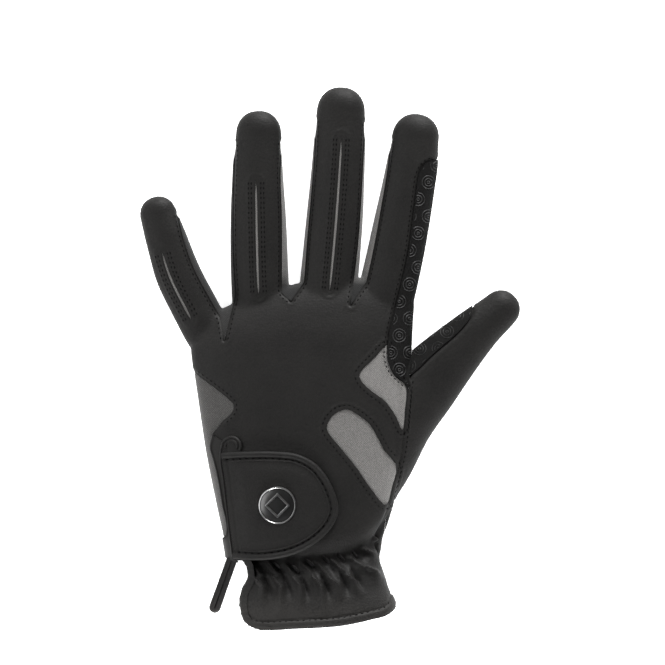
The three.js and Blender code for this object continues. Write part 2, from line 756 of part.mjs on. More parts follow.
const finishes = {
  leather: { color: 0x2b2b2b, roughness: 0.62, metalness: 0 },
  fabric: { color: 0x6d6a68, roughness: 0.9, metalness: 0 },
  fourchette: { color: 0x34322f, roughness: 0.85, metalness: 0 },
  grip: { color: 0x242424, roughness: 0.5, metalness: 0 },
  chrome: { color: 0xb8b6b4, roughness: 0.2, metalness: 1 },
  badge: { color: 0x101010, roughness: 0.12, metalness: 0 },
};
const finishOf = {
  back_panel: 'leather',
  palm_panel: 'leather',
  thumb: 'leather',
  fourchette_little_ring: 'fourchette',
  fourchette_ring_middle: 'fourchette',
  fourchette_middle_index: 'fourchette',
  slit_inset_little: 'fabric',
  slit_inset_ring: 'fabric',
  slit_inset_middle: 'fabric',
  index_grip_patch: 'grip',
  thumb_grip_patch: 'grip',
  stretch_window_upper: 'fabric',
  stretch_window_lower: 'fabric',
  stretch_panel_side: 'fabric',
  wrist_strap: 'leather',
  strap_badge_rim: 'chrome',
  strap_badge: 'badge',
  slit_facing: 'leather',
  opening_binding: 'leather',
  cuff_binding: 'leather',
  pull_loop: 'leather',
};

function mesh(name, body) {
  const { vertProperties, triVerts } = body.getMesh();
  const geometry = new THREE.BufferGeometry();
  geometry.setAttribute('position', new THREE.BufferAttribute(new Float32Array(vertProperties), 3));
  geometry.setIndex(new THREE.BufferAttribute(new Uint32Array(triVerts), 1));
  geometry.computeVertexNormals();
  const made = new THREE.Mesh(geometry, new THREE.MeshStandardMaterial(finishes[finishOf[name]]));
  made.name = name;
  return made;
}

const glove = new THREE.Group();
for (const name of Object.keys(finishOf)) glove.add(mesh(name, pieces[name]));

export default glove;
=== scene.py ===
"""A left riding glove in black synthetic leather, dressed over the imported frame.

The glove lies palm down with its fingers along +Y and its thumb towards +X. Tables and sizes are in
millimetres and shares of named sizes, as in the frame, and become metres where a mesh is written.
"""

import json
import logging
import math
import random
from dataclasses import dataclass
from enum import Enum
from typing import Callable, Iterable, Optional, Sequence

import bmesh
import bpy
import numpy as np
from mathutils import Matrix, Vector
from mathutils.bvhtree import BVHTree

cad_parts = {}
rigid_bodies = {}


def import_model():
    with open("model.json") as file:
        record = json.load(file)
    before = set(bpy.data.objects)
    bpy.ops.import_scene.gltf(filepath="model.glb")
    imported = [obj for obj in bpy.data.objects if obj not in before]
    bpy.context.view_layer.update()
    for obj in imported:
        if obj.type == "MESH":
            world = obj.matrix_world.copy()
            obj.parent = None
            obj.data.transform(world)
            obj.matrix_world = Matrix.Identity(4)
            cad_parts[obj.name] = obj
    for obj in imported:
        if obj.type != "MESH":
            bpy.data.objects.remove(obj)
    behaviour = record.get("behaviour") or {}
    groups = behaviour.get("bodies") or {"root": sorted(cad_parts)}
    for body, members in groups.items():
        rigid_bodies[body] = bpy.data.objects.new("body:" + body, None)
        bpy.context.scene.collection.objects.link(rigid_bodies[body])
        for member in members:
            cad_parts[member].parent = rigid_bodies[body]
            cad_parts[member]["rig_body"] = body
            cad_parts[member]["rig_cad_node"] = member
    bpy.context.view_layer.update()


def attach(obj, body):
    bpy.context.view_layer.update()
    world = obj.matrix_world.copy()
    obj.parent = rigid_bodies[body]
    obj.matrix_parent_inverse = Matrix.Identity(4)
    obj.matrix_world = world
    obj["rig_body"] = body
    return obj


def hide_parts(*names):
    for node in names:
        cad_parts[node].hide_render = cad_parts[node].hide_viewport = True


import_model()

log = logging.getLogger("glove")

MM = 0.001
SEED = 7
Points = np.ndarray
Place = tuple[float, float]
Socket = bpy.types.NodeSocket


@dataclass(frozen=True)
class Sizes:
    """Driving sizes of the glove in millimetres, close to the frame's.

    The growth is how far the skin moves out again after its smoothing.
    """

    leather: float = 1.2
    seam_gap: float = 0.12
    palm_length: float = 117.0
    palm_width: float = 100.0
    hand_height: float = 32.0
    cuff_length: float = 24.0
    origin_share: float = 0.658
    hand_fullness: float = 2.5
    digit_fullness: float = 2.2
    digit_sink: float = 0.055
    growth: float = 0.42
    seam_share: float = 0.27
    seam_slope: float = 2.6
    slit_width: float = 1.3
    slit_hem: float = 0.35
    inset_width: float = 6.5
    opening_width: float = 4.2
    binding_width: float = 3.4
    binding_proud: float = 0.4
    strap_length: float = 48.5
    strap_width: float = 49.0
    strap_thickness: float = 1.6
    facing_radius: float = 4.4
    badge_radius: float = 8.3
    loop_length: float = 26.0
    loop_width: float = 7.5
    loop_thickness: float = 2.6
    loop_turn: float = 19.7
    loop_droop: float = 14.0

    @property
    def wrist_y(self) -> float:
        """Place of the wrist line along Y."""
        return -self.origin_share * self.palm_length


SIZES = Sizes()


class Table:
    """Rows of shares that are read smoothly between their places."""

    def __init__(self, columns: str, rows: Sequence[Sequence[float]]) -> None:
        """Keep the rows by column.

        Args:
            columns: Names of the columns; the first one is the place.
            rows: One sequence of numbers for each place, in rising order.
        """
        names = columns.split()
        values = np.array(rows, dtype=float)
        self.places = values[:, 0]
        self.columns = {name: values[:, i] for i, name in enumerate(names)}

    def at(self, name: str, place: Points) -> Points:
        """Read a column at some places.

        Args:
            name: The column.
            place: Places between the first row's and the last row's.

        Returns:
            The column's values, on a smooth curve through the rows.
        """
        x, y = self.places, self.columns[name]
        slope = np.gradient(y, x)
        place = np.clip(np.asarray(place, dtype=float), x[0], x[-1])
        i = np.clip(np.searchsorted(x, place) - 1, 0, len(x) - 2)
        span = x[i + 1] - x[i]
        t = (place - x[i]) / span
        rise = y[i + 1] - y[i]
        a = slope[i] * span - rise
        b = rise - slope[i + 1] * span
        return y[i] + t * rise + t * (1 - t) * (a * (1 - t) + b * t)


HAND = Table(
    "at left right skew bow height lift",
    [
        (-1.45, -0.59, 0.9, 0.07, -0.035, 1.24, -0.05),
        (-0.84, -0.6, 0.86, 0.07, -0.035, 1.2, -0.05),
        (-0.6, -0.605, 0.83, 0.05, -0.02, 1.16, -0.05),
        (-0.3, -0.617, 0.78, 0.01, 0, 1.09, -0.05),
        (0, -0.637, 0.725, 0, 0, 1.05, -0.05),
        (0.055, -0.646, 0.706, 0, 0, 1.05, -0.05),
        (0.12, -0.67, 0.73, 0, 0, 1.04, -0.05),
        (0.25, -0.735, 0.81, 0, 0, 1.02, -0.055),
        (0.45, -0.83, 0.915, 0, 0, 0.97, -0.06),
        (0.65, -0.9, 0.96, 0.01, 0.01, 0.91, -0.06),
        (0.8, -0.945, 0.976, 0.04, 0.02, 0.84, -0.055),
        (0.91, -0.96, 0.99, 0.1, 0.05, 0.74, -0.04),
        (0.98, -0.93, 1, 0.15, 0.08, 0.6, -0.02),
        (1.015, -0.9, 0.98, 0.16, 0.09, 0.48, 0.08),
        (1.03, -0.88, 0.96, 0.16, 0.09, 0.37, 0.18),
    ],
)

FINGER = Table(
    "along wide thick bend heel",
    [
        (-0.26, 0.9, 0.85, 0, 1),
        (0, 1, 1.12, 0.5, 0.58),
        (0.2, 1, 1.08, 0.85, 0.3),
        (0.42, 0.975, 1.03, 1, 0),
        (0.73, 0.865, 0.92, 0.72, 0),
        (1, 0.78, 0.82, 0.2, 0),
    ],
)
THUMB = Table(
    "along wide thick shift",
    [
        (-0.46, 0.55, 0.5, 0.78),
        (-0.25, 0.86, 0.98, 0.56),
        (-0.03, 1.08, 1.2, 0.3),
        (0.18, 1.1, 1.2, 0.07),
        (0.38, 1, 1.05, 0),
        (0.55, 0.85, 0.95, -0.037),
        (0.73, 0.69, 0.85, -0.055),
        (1, 0.56, 0.72, -0.04),
    ],
)
SEAM_PLACES = (0.06, 0.25, 0.45, 0.65, 0.84)


def catmull(points: Points, spacing: float, closed: bool = False) -> Points:
    """Lay a smooth line through a few points.

    Args:
        points: The points to pass through, one row each.
        spacing: Distance between the points that come back.
        closed: Whether the line returns to its start.

    Returns:
        Points along the line at about even steps.
    """
    points = np.asarray(points, dtype=float)
    if closed:
        ring = np.vstack([points[-2:], points, points[:3]])
    else:
        ring = np.vstack([2 * points[0] - points[1], points, 2 * points[-1] - points[-2]])
    steps = np.sqrt(np.linalg.norm(np.diff(ring, axis=0), axis=1))
    knots = np.concatenate([[0], np.cumsum(np.maximum(steps, 1e-6))])
    slope = np.gradient(ring, knots, axis=0)
    first = 2 if closed else 1
    last = first + len(points) - (0 if closed else 1)
    t = np.linspace(knots[first], knots[last], 60 * len(points))
    i = np.clip(np.searchsorted(knots, t, side="right") - 1, 0, len(knots) - 2)
    span = (knots[i + 1] - knots[i])[:, None]
    s = (t - knots[i])[:, None] / span
    rise = ring[i + 1] - ring[i]
    a, b = slope[i] * span - rise, rise - slope[i + 1] * span
    line = ring[i] + s * rise + s * (1 - s) * (a * (1 - s) + b * s)
    return even(line, spacing, closed)


def even(line: Points, spacing: float, closed: bool = False) -> Points:
    """Space a line's points evenly.

    Args:
        line: Points of the line.
        spacing: Wanted distance between points.
        closed: Whether the last point meets the first, which is then left out.

    Returns:
        The evenly spaced points.
    """
    lengths = np.concatenate([[0], np.cumsum(np.linalg.norm(np.diff(line, axis=0), axis=1))])
    count = max(2, round(lengths[-1] / spacing))
    at = np.linspace(0, lengths[-1], count + 1)
    made = np.column_stack([np.interp(at, lengths, line[:, k]) for k in range(line.shape[1])])
    return made[:-1] if closed else made


def hand_edges(v: Points) -> tuple[Points, Points]:
    """Give the hand's left and right edges on the plan.

    Args:
        v: Shares of the palm's length from the wrist.

    Returns:
        The places of the edges along X.
    """
    v = np.asarray(v, dtype=float)
    at = np.where(v < 0, v * SIZES.palm_length / SIZES.cuff_length, v)
    half = SIZES.palm_width / 2
    return HAND.at("left", at) * half, HAND.at("right", at) * half


def on_hand(rows: Sequence[Place]) -> Points:
    """Turn shares on the hand into places on the plan.

    Args:
        rows: Pairs (u, v): u is -1 at the left edge and 1 at the right, v a share of the palm.

    Returns:
        One row (x, y) for each pair.
    """
    u, v = np.array(rows, dtype=float).T
    left, right = hand_edges(v)
    return np.column_stack([(left + right + u * (right - left)) / 2, SIZES.wrist_y + v * SIZES.palm_length])


@dataclass(frozen=True)
class Digit:
    """A finger or the thumb: where it starts on the hand, how far it leans, and its size.

    The tip is how much wider its end is than the table gives, as a share of its width.
    """

    u: float
    v: float
    lean: float
    length: float
    width: float
    thickness: float
    bend: float = 0.0
    heel: float = 0.0
    left_seam: tuple[float, ...] = ()
    right_seam: tuple[float, ...] = ()
    table: Table = FINGER
    tip: float = 0.0

    @property
    def tip_start(self) -> float:
        """Where the round tip starts, as a share of the length."""
        return 1 - (self.table.columns["wide"][-1] + self.tip) * self.width / 2 / self.length

    @property
    def axes(self) -> tuple[Points, Points, Points]:
        """The start, the direction ahead and the direction to the side, on the plan."""
        angle = math.radians(self.lean)
        ahead = np.array([-math.sin(angle), math.cos(angle)])
        side = np.array([math.cos(angle), math.sin(angle)])
        return on_hand([(self.u, self.v)])[0], ahead, side

    def read(self, name: str, along: Points) -> Points:
        """Read the digit's table, whose last row is where the tip starts.

        Args:
            name: The column.
            along: Shares of the digit's length.

        Returns:
            The column's values.
        """
        along = np.asarray(along, dtype=float)
        last = self.table.places[-2]
        beyond = last + (along - last) * (1 - last) / (self.tip_start - last)
        value = self.table.at(name, np.where(along > last, beyond, along))
        return value + self.tip * ramp(along, 0.45, 0.85) if name == "wide" else value

    def shift(self, along: Points) -> Points:
        """Give the sideways shift of the digit's middle in millimetres.

        Args:
            along: Shares of the digit's length.

        Returns:
            The shifts.
        """
        if self.table is THUMB:
            return self.read("shift", along) * self.width
        shares = self.read("bend", along) * self.bend + self.read("heel", along) * self.heel
        return shares * self.width

    def points(self, rows: Sequence[Place]) -> Points:
        """Turn shares on the digit into places on the plan.

        Args:
            rows: Pairs (along, across): shares of the length and of half the width.

        Returns:
            One row (x, y) for each pair.
        """
        along, across = np.array(rows, dtype=float).T
        root, ahead, side = self.axes
        half = self.read("wide", along) * self.width / 2
        sideways = self.shift(along) + across * half
        return root + np.outer(along * self.length, ahead) + np.outer(sideways, side)

    def seam(self, left: bool) -> Points:
        """Give the seam between the digit's back and its side wall.

        Args:
            left: Whether it is the left one.

        Returns:
            A smooth line on the plan, from the hand to the tip.
        """
        shares = self.left_seam if left else self.right_seam
        return catmull(self.points(list(zip(SEAM_PLACES, shares))), 0.8)


DIGITS = {
    "little": Digit(-0.922, 0.906, 19.4, 64.4, 20.3, 15.5, -0.02, 0.3, (), (0.82, 0.78, 0.77, 0.82, 1.05)),
    "ring": Digit(
        -0.375, 1.017, 1.9, 86.3, 25, 17, -0.07, -0.06,
        left_seam=(-0.9, -0.94, -0.96, -0.98, -1.06),
        right_seam=(0.76, 0.83, 0.88, 0.93, 1.05),
    ),
    "middle": Digit(
        0.208, 1.051, -4.4, 93, 25, 18, 0.045, 0,
        left_seam=(-0.88, -0.92, -0.94, -0.97, -1.06),
        right_seam=(0.88, 0.92, 0.94, 0.97, 1.06),
        tip=0.05,
    ),
    "index": Digit(
        0.752, 1.051, -11.5, 82.4, 24.4, 17.5, 0.07, 0.03,
        left_seam=(-0.8, -0.82, -0.87, -0.94, -1.06),
        tip=0.05,
    ),
    "thumb": Digit(0.69, 0.535, -46.7, 86.6, 29.4, 20, table=THUMB),
}


def make_object(name: str, bm: bmesh.types.BMesh) -> bpy.types.Object:
    """Write a bmesh in millimetres to a new object in metres.

    Args:
        name: The object's name.
        bm: The mesh, which is freed.

    Returns:
        The object, linked to the scene.
    """
    bmesh.ops.scale(bm, vec=(MM, MM, MM), verts=bm.verts)
    mesh = bpy.data.meshes.new(name)
    bm.to_mesh(mesh)
    bm.free()
    made = bpy.data.objects.new(name, mesh)
    bpy.context.scene.collection.objects.link(made)
    return made


def read_points(obj: bpy.types.Object) -> Points:
    """Give an object's vertices in millimetres, one row each."""
    flat = np.empty(3 * len(obj.data.vertices))
    obj.data.vertices.foreach_get("co", flat)
    return flat.reshape(-1, 3) / MM


def write_points(obj: bpy.types.Object, points: Points) -> None:
    """Set an object's vertices from rows in millimetres."""
    obj.data.vertices.foreach_set("co", (points * MM).ravel())
    obj.data.update()


def read_normals(obj: bpy.types.Object) -> Points:
    """Give the normals at an object's vertices, one row each."""
    flat = np.empty(3 * len(obj.data.vertices))
    obj.data.vertex_normals.foreach_get("vector", flat)
    return flat.reshape(-1, 3)


def settle(obj: bpy.types.Object) -> bpy.types.Object:
    """Apply all modifiers of an object to its mesh."""
    graph = bpy.context.evaluated_depsgraph_get()
    old = obj.data
    made = bpy.data.meshes.new_from_object(obj.evaluated_get(graph))
    obj.modifiers.clear()
    obj.data = made
    bpy.data.meshes.remove(old)
    return obj


def copy_of(obj: bpy.types.Object, name: str) -> bpy.types.Object:
    """Make a copy of an object with a mesh of its own."""
    made = bpy.data.objects.new(name, obj.data.copy())
    bpy.context.scene.collection.objects.link(made)
    return made


def discard(*objects: bpy.types.Object) -> None:
    """Remove helper objects and their meshes."""
    for obj in objects:
        mesh = obj.data
        bpy.data.objects.remove(obj)
        bpy.data.meshes.remove(mesh)


def remesh(obj: bpy.types.Object, voxel: float) -> bpy.types.Object:
    """Join all overlapping shells of an object into one even skin.

    Args:
        obj: The object.
        voxel: Size of the new faces in millimetres.

    Returns:
        The same object.
    """
    modifier = obj.modifiers.new("skin", "REMESH")
    modifier.mode = "VOXEL"
    modifier.voxel_size = voxel * MM
    return settle(obj)


def soften(obj: bpy.types.Object, rounds: int, group: str = "") -> bpy.types.Object:
    """Smooth an object's vertices a few times, or those of one vertex group."""
    modifier = obj.modifiers.new("soft", "SMOOTH")
    modifier.vertex_group = group
    modifier.factor = 0.5
    modifier.iterations = rounds
    return settle(obj)


def tube_mesh(bm: bmesh.types.BMesh, rings: Sequence[Points]) -> None:
    """Add a closed tube through rings of points to a mesh.

    Args:
        bm: The mesh to add to.
        rings: One array of points for each ring, all with as many points.
    """
    sides = len(rings[0])
    grid = bmesh.ops.create_grid(bm, x_segments=sides, y_segments=len(rings) - 1, size=1)["verts"]
    for vert in grid:
        i = round((vert.co.x + 1) / 2 * sides) % sides
        j = round((vert.co.y + 1) / 2 * (len(rings) - 1))
        vert.co = rings[j][i]
    bmesh.ops.remove_doubles(bm, verts=grid, dist=1e-4)
    alive = [v for v in grid if v.is_valid]
    edges = list({e for v in alive for e in v.link_edges if e.is_boundary})
    bmesh.ops.holes_fill(bm, edges=edges, sides=0)


def section(
    centre: Points, side: Points, ahead: Points, low: float, high: float, half: float, sides: int,
    fullness: float, bend: Optional[Callable[[Points], Points]] = None,
) -> Points:
    """Give the points of one rounded section across a form.

    Args:
        centre: Middle of the section on the plan.
        side: Direction across the section on the plan.
        ahead: Direction along the form on the plan.
        low: Height of its lowest point.
        high: Height of its highest point.
        half: Half its width.
        sides: Number of points.
        fullness: 2 is an ellipse, more is squarer.
        bend: How far a point moves ahead, by its place across from -1 to 1.

    Returns:
        One row (x, y, z) for each point.
    """
    angle = np.linspace(0, 2 * math.pi, sides, endpoint=False)
    across = np.sign(np.cos(angle)) * np.abs(np.cos(angle)) ** (2 / fullness)
    up = np.sign(np.sin(angle)) * np.abs(np.sin(angle)) ** (2 / fullness)
    forward = bend(across) if bend else np.zeros(sides)
    plan = centre + np.outer(across * half, side) + np.outer(forward, ahead)
    return np.column_stack([plan, (low + high) / 2 + up * (high - low) / 2])


class Body:
    """The smooth closed form of the whole glove, before its seams, folds and panels."""

    voxel = 0.62
    step = 2.2

    def __init__(self) -> None:
        """Loft the hand and the digits, and join them into one skin."""
        bm = bmesh.new()
        tube_mesh(bm, self.hand_rings(100))
        for digit in DIGITS.values():
            tube_mesh(bm, self.digit_rings(digit, 44))
        bmesh.ops.recalc_face_normals(bm, faces=bm.faces)
        self.skin = make_object("body", bm)
        soften(remesh(self.skin, self.voxel), 14)
        points = read_points(self.skin) + read_normals(self.skin) * SIZES.growth
        points[:, 2] = np.maximum(points[:, 2], 0)
        write_points(self.skin, points)
        self.blend_knuckles()
        self.tree = tree_of(self.skin)
        log.info("body has %d vertices", len(points))

    def blend_knuckles(self) -> None:
        """Smooth the back of the hand where the fingers start."""
        y = read_points(self.skin)[:, 1]
        share = ramp(y, 14, 30) * (1 - ramp(y, 58, 70)) * ramp(read_normals(self.skin)[:, 2], 0.35, 0.75)
        group = self.skin.vertex_groups.new(name="knuckles")
        for index in np.flatnonzero(share > 0.02):
            group.add([int(index)], float(share[index]), "REPLACE")
        soften(self.skin, 70, group.name)
        self.skin.vertex_groups.clear()

    def hand_rings(self, sides: int) -> list[Points]:
        """Give the sections of the hand and the cuff, from past the hem to the knuckles."""
        first, last = HAND.places[0] * SIZES.cuff_length, HAND.places[-1] * SIZES.palm_length
        rings = []
        for distance in np.linspace(first, last, round((last - first) / self.step)):
            at = distance / (SIZES.cuff_length if distance < 0 else SIZES.palm_length)
            row = {name: float(HAND.at(name, at)) for name in HAND.columns}
            half = SIZES.palm_width / 2
            left, right = row["left"] * half, row["right"] * half
            rings.append(
                section(
                    np.array([(left + right) / 2, SIZES.wrist_y + distance]),
                    np.array([1, 0]),
                    np.array([0, 1]),
                    row["lift"] * SIZES.hand_height,
                    row["height"] * SIZES.hand_height,
                    (right - left) / 2,
                    sides,
                    SIZES.hand_fullness,
                    lambda u, row=row: row["skew"] * u * half + row["bow"] * 2 * half * (1 - u * u),
                )
            )
        return rings

    def digit_rings(self, digit: Digit, sides: int) -> list[Points]:
        """Give the sections of a digit, from inside the hand to its round tip."""
        root, ahead, side = digit.axes
        low = -SIZES.digit_sink * digit.thickness
        first, last = digit.table.places[0], digit.tip_start
        rings = []

        def ring(distance: float, at: float, share: float) -> None:
            half = float(digit.read("wide", at)) * digit.width / 2
            rise = float(digit.read("thick", at)) * digit.thickness / 2
            centre = root + ahead * distance + side * float(digit.shift(at))
            middle = low + rise
            rings.append(
                section(
                    centre, side, ahead, middle - rise * share, middle + rise * share, half * share, sides,
                    SIZES.digit_fullness,
                )
            )

        for at in np.linspace(first, last, round((last - first) * digit.length / self.step)):
            ring(at * digit.length, at, 1)
        reach = float(digit.read("wide", last)) * digit.width / 2
        for angle in np.radians([12, 24, 36, 48, 58, 67, 75, 82, 87]):
            share = math.cos(angle) ** (2 / SIZES.digit_fullness)
            ring(last * digit.length + reach * math.sin(angle), last, share)
        return rings


def tree_of(obj: bpy.types.Object) -> BVHTree:
    """Make a search tree of an object's faces, in millimetres."""
    points = read_points(obj)
    return BVHTree.FromPolygons([tuple(p) for p in points], [tuple(f.vertices) for f in obj.data.polygons])


def drop_on(tree: BVHTree, plan: Points, from_above: bool = True) -> list[tuple[Vector, Vector]]:
    """Find where places on the plan meet a skin.

    Args:
        tree: The skin.
        plan: One row (x, y) for each place.
        from_above: Whether the skin is met from above or from below.

    Returns:
        A point and an outward normal for each place that meets the skin.
    """
    start, way = (100, Vector((0, 0, -1))) if from_above else (-100, Vector((0, 0, 1)))
    found = []
    for x, y in plan:
        point, normal, _, _ = tree.ray_cast(Vector((x, y, start)), way)
        if point is None:
            continue
        found.append((point, normal if normal.dot(way) < 0 else -normal))
    return found


def distance_to(points: Points, line: Points, closed: bool = False, reach: float = 8) -> Points:
    """Measure how far points are from a line on the plan.

    Args:
        points: One row (x, y, ...) for each point.
        line: The line's points.
        closed: Whether the line returns to its start.
        reach: Points further than this get a large distance.

    Returns:
        The distances in millimetres.
    """
    ends = np.vstack([line[1:], line[:1]]) if closed else line[1:]
    starts = line if closed else line[:-1]
    far = np.full(len(points), 1e3)
    low, high = line.min(axis=0) - reach, line.max(axis=0) + reach
    near = np.flatnonzero(np.all((points[:, :2] > low) & (points[:, :2] < high), axis=1))
    best = np.full(len(near), 1e6)
    xy = points[near, :2]
    for a, b in zip(starts, ends):
        way = b - a
        share = np.clip(((xy - a) @ way) / max(way @ way, 1e-9), 0, 1)
        gap = xy - a - share[:, None] * way
        best = np.minimum(best, np.einsum("ij,ij->i", gap, gap))
    far[near] = np.sqrt(best)
    return far


def is_inside(points: Points, outline: Points) -> Points:
    """Tell which points lie inside a closed outline on the plan."""
    x, y = points[:, 0], points[:, 1]
    inside = np.zeros(len(points), dtype=bool)
    for (x1, y1), (x2, y2) in zip(outline, np.roll(outline, -1, axis=0)):
        if y1 == y2:
            continue
        crosses = (y1 > y) != (y2 > y)
        inside ^= crosses & (x < x1 + (y - y1) * (x2 - x1) / (y2 - y1))
    return inside


def widen(outline: Points, distance: float) -> Points:
    """Move a closed outline outwards by a distance, or inwards if it is negative."""
    before = outline - np.roll(outline, 1, axis=0)
    after = np.roll(outline, -1, axis=0) - outline
    before /= np.linalg.norm(before, axis=1)[:, None] + 1e-9
    after /= np.linalg.norm(after, axis=1)[:, None] + 1e-9
    along = before + after
    along /= np.linalg.norm(along, axis=1)[:, None] + 1e-9
    x, y = outline.T
    turn = np.sign(np.sum(x * np.roll(y, -1) - y * np.roll(x, -1)))
    stretch = np.maximum(0.5, np.sqrt((1 + np.einsum("ij,ij->i", before, after)) / 2))
    return outline + turn * distance * np.column_stack([along[:, 1], -along[:, 0]]) / stretch[:, None]


def beside(line: Points, distance: float) -> Points:
    """Give a line that runs beside an open one, to its right if the distance is positive."""
    way = np.gradient(line, axis=0)
    way /= np.linalg.norm(way, axis=1)[:, None]
    return line + distance * np.column_stack([way[:, 1], -way[:, 0]])


def bell(distance: Points, width: float) -> Points:
    """Give 1 at no distance, falling smoothly to 0 over about two widths."""
    return np.exp(-((distance / width) ** 2))


def ramp(value: Points, low: float, high: float) -> Points:
    """Rise smoothly from 0 at the low value to 1 at the high one."""
    t = np.clip((value - low) / (high - low), 0, 1)
    return t * t * (3 - 2 * t)


UPPER_WINDOW = (
    (0.533, 0.756), (0.66, 0.815), (0.785, 0.866), (0.8, 0.82), (0.85, 0.755), (0.965, 0.712), (0.972, 0.62),
    (0.96, 0.545), (0.88, 0.6), (0.768, 0.656), (0.645, 0.692), (0.55, 0.73),
)
LOWER_WINDOW = (
    (0.22, 0.56), (0.283, 0.602), (0.405, 0.623), (0.5, 0.608), (0.64, 0.566), (0.723, 0.517), (0.8, 0.469),
    (0.945, 0.41), (0.95, 0.33), (0.925, 0.262), (0.73, 0.32), (0.53, 0.405), (0.33, 0.49), (0.235, 0.535),
)
SIDE_PANEL = (
    (-1.2, 0.83), (-0.95, 0.745), (-0.8, 0.696), (-0.716, 0.666),
    (-0.664, 0.64), (-0.69, 0.61), (-0.78, 0.58),
)
BINDING_OUTER = (
    (-0.905, 0.529), (-0.95, 0.48), (-0.936, 0.423), (-0.927, 0.362),
    (-0.933, 0.272), (-0.965, 0.15), (-1.2, 0.11),
)
BINDING_INNER = ((-0.8, 0.5), (-0.84, 0.434), (-0.845, 0.36), (-0.875, 0.207), (-0.893, 0.06))
CUFF_EDGE = (
    (-0.76, 0.03), (-0.767, -0.016), (-0.868, -0.066), (-0.9, -0.127),
    (-0.858, -0.176), (-0.75, -0.203), (-0.61, -0.212),
)
THUMB_LINE = (
    (1.03, 1), (1.015, 0.86), (0.995, 0.7), (0.985, 0.545),
    (0.98, 0.43), (0.965, 0.31), (0.98, 0.19), (1.03, 0.1),
)
INDEX_PATCH_FINGER = ((0.79, 1.2), (0.755, 0.6), (0.7, 0.35), (0.5, 0.36), (0.25, 0.45))
INDEX_PATCH_HAND = ((0.84, 1), (0.79, 0.9), (0.788, 0.814), (0.836, 0.766), (0.97, 0.716))
THUMB_PATCH = (
    (0.83, -1.3), (0.78, -0.75), (0.68, -0.5), (0.5, -0.5), (0.34, -0.52), (0.24, -0.7), (0.2, -1.1),
)
STRAP_EDGE = (
    (0.19, 0.51), (0.427, 0.51), (0.627, 0.485), (0.79, 0.4), (0.9, 0.267), (0.975, 0.096), (0.993, -0.022),
    (0.947, -0.149), (0.829, -0.28), (0.682, -0.375), (0.499, -0.439), (0.28, -0.465),
)
STRAP_START = (-0.86, 0.25)
BADGE_PLACE = (0.442, 0.029)
FACING_PLACE = (-0.725, 0.484)
# Tips of the grooves at the elastic and of the folds below them, in millimetres
GROOVE_TIPS = ((-12.4, -71.9), (-3.5, -73.2), (3.1, -70.5), (10.6, -68.8), (17.7, -67.9), (24.8, -67))
FOLD_TIPS = ((-15.5, -78), (-7.1, -77.2), (0.9, -78), (9.8, -76.7), (18.2, -75.4), (23.5, -74))
# The cuff's hem on the plan, in millimetres from left to right
HEM = (
    (-24, -99), (-19.5, -101), (-15.7, -101.4), (-3.5, -100.7), (17.5, -99.4), (31.5, -96.7),
    (38.5, -94.9), (42.4, -91.8), (44, -87),
)
SLIT_SHAPE = ((0, 0.1), (0.06, 0.7), (0.2, 0.9), (0.45, 1), (0.9, 0.7), (1, 0.1))


@dataclass(frozen=True)
class Slit:
    """An expansion slit on a finger's back, by shares of its length and half its width."""

    finger: str
    start: float
    end: float
    across: float

    def middle(self) -> Points:
        """Give the slit's middle line on the plan."""
        rows = [(at, self.across) for at in np.linspace(self.start, self.end, 12)]
        return catmull(DIGITS[self.finger].points(rows), 0.8)

    def outline(self, width: float) -> Points:
        """Give a closed outline around the slit.

        Args:
            width: Its greatest width in millimetres.
        """
        line = self.middle()
        shares = np.array(SLIT_SHAPE)
        half = np.interp(np.linspace(0, 1, len(line)), shares[:, 0], shares[:, 1])[:, None] * width / 2
        away = beside(line, 1) - line
        return np.vstack([line + away * half, (line - away * half)[::-1]])


SLITS = {
    "little": Slit("little", 0.12, 0.62, -0.38),
    "ring": Slit("ring", 0.06, 0.64, -0.06),
    "middle": Slit("middle", 0.03, 0.76, 0.06),
}


@dataclass(frozen=True)
class Web:
    """The side walls between two fingers, down to a foot on the hand."""

    left: str
    right: str
    foot: Place

    def outline(self) -> Points:
        """Give the closed outline around the gap between the fingers."""
        up = DIGITS[self.left].seam(left=False)
        down = DIGITS[self.right].seam(left=True)[::-1]
        foot = on_hand([self.foot])
        return even(np.vstack([foot, up, down, foot]), 0.8, closed=True)

    def seams(self) -> list[Points]:
        """Give the seams on both sides of the gap, from the foot to the tips."""
        foot = on_hand([self.foot])
        return [
            np.vstack([foot, DIGITS[self.left].seam(left=False)]),
            np.vstack([foot, DIGITS[self.right].seam(left=True)]),
        ]


WEBS = {
    "little_ring": Web("little", "ring", (-0.7, 0.885)),
    "ring_middle": Web("ring", "middle", (-0.13, 1.035)),
    "middle_index": Web("middle", "index", (0.44, 1.02)),
}


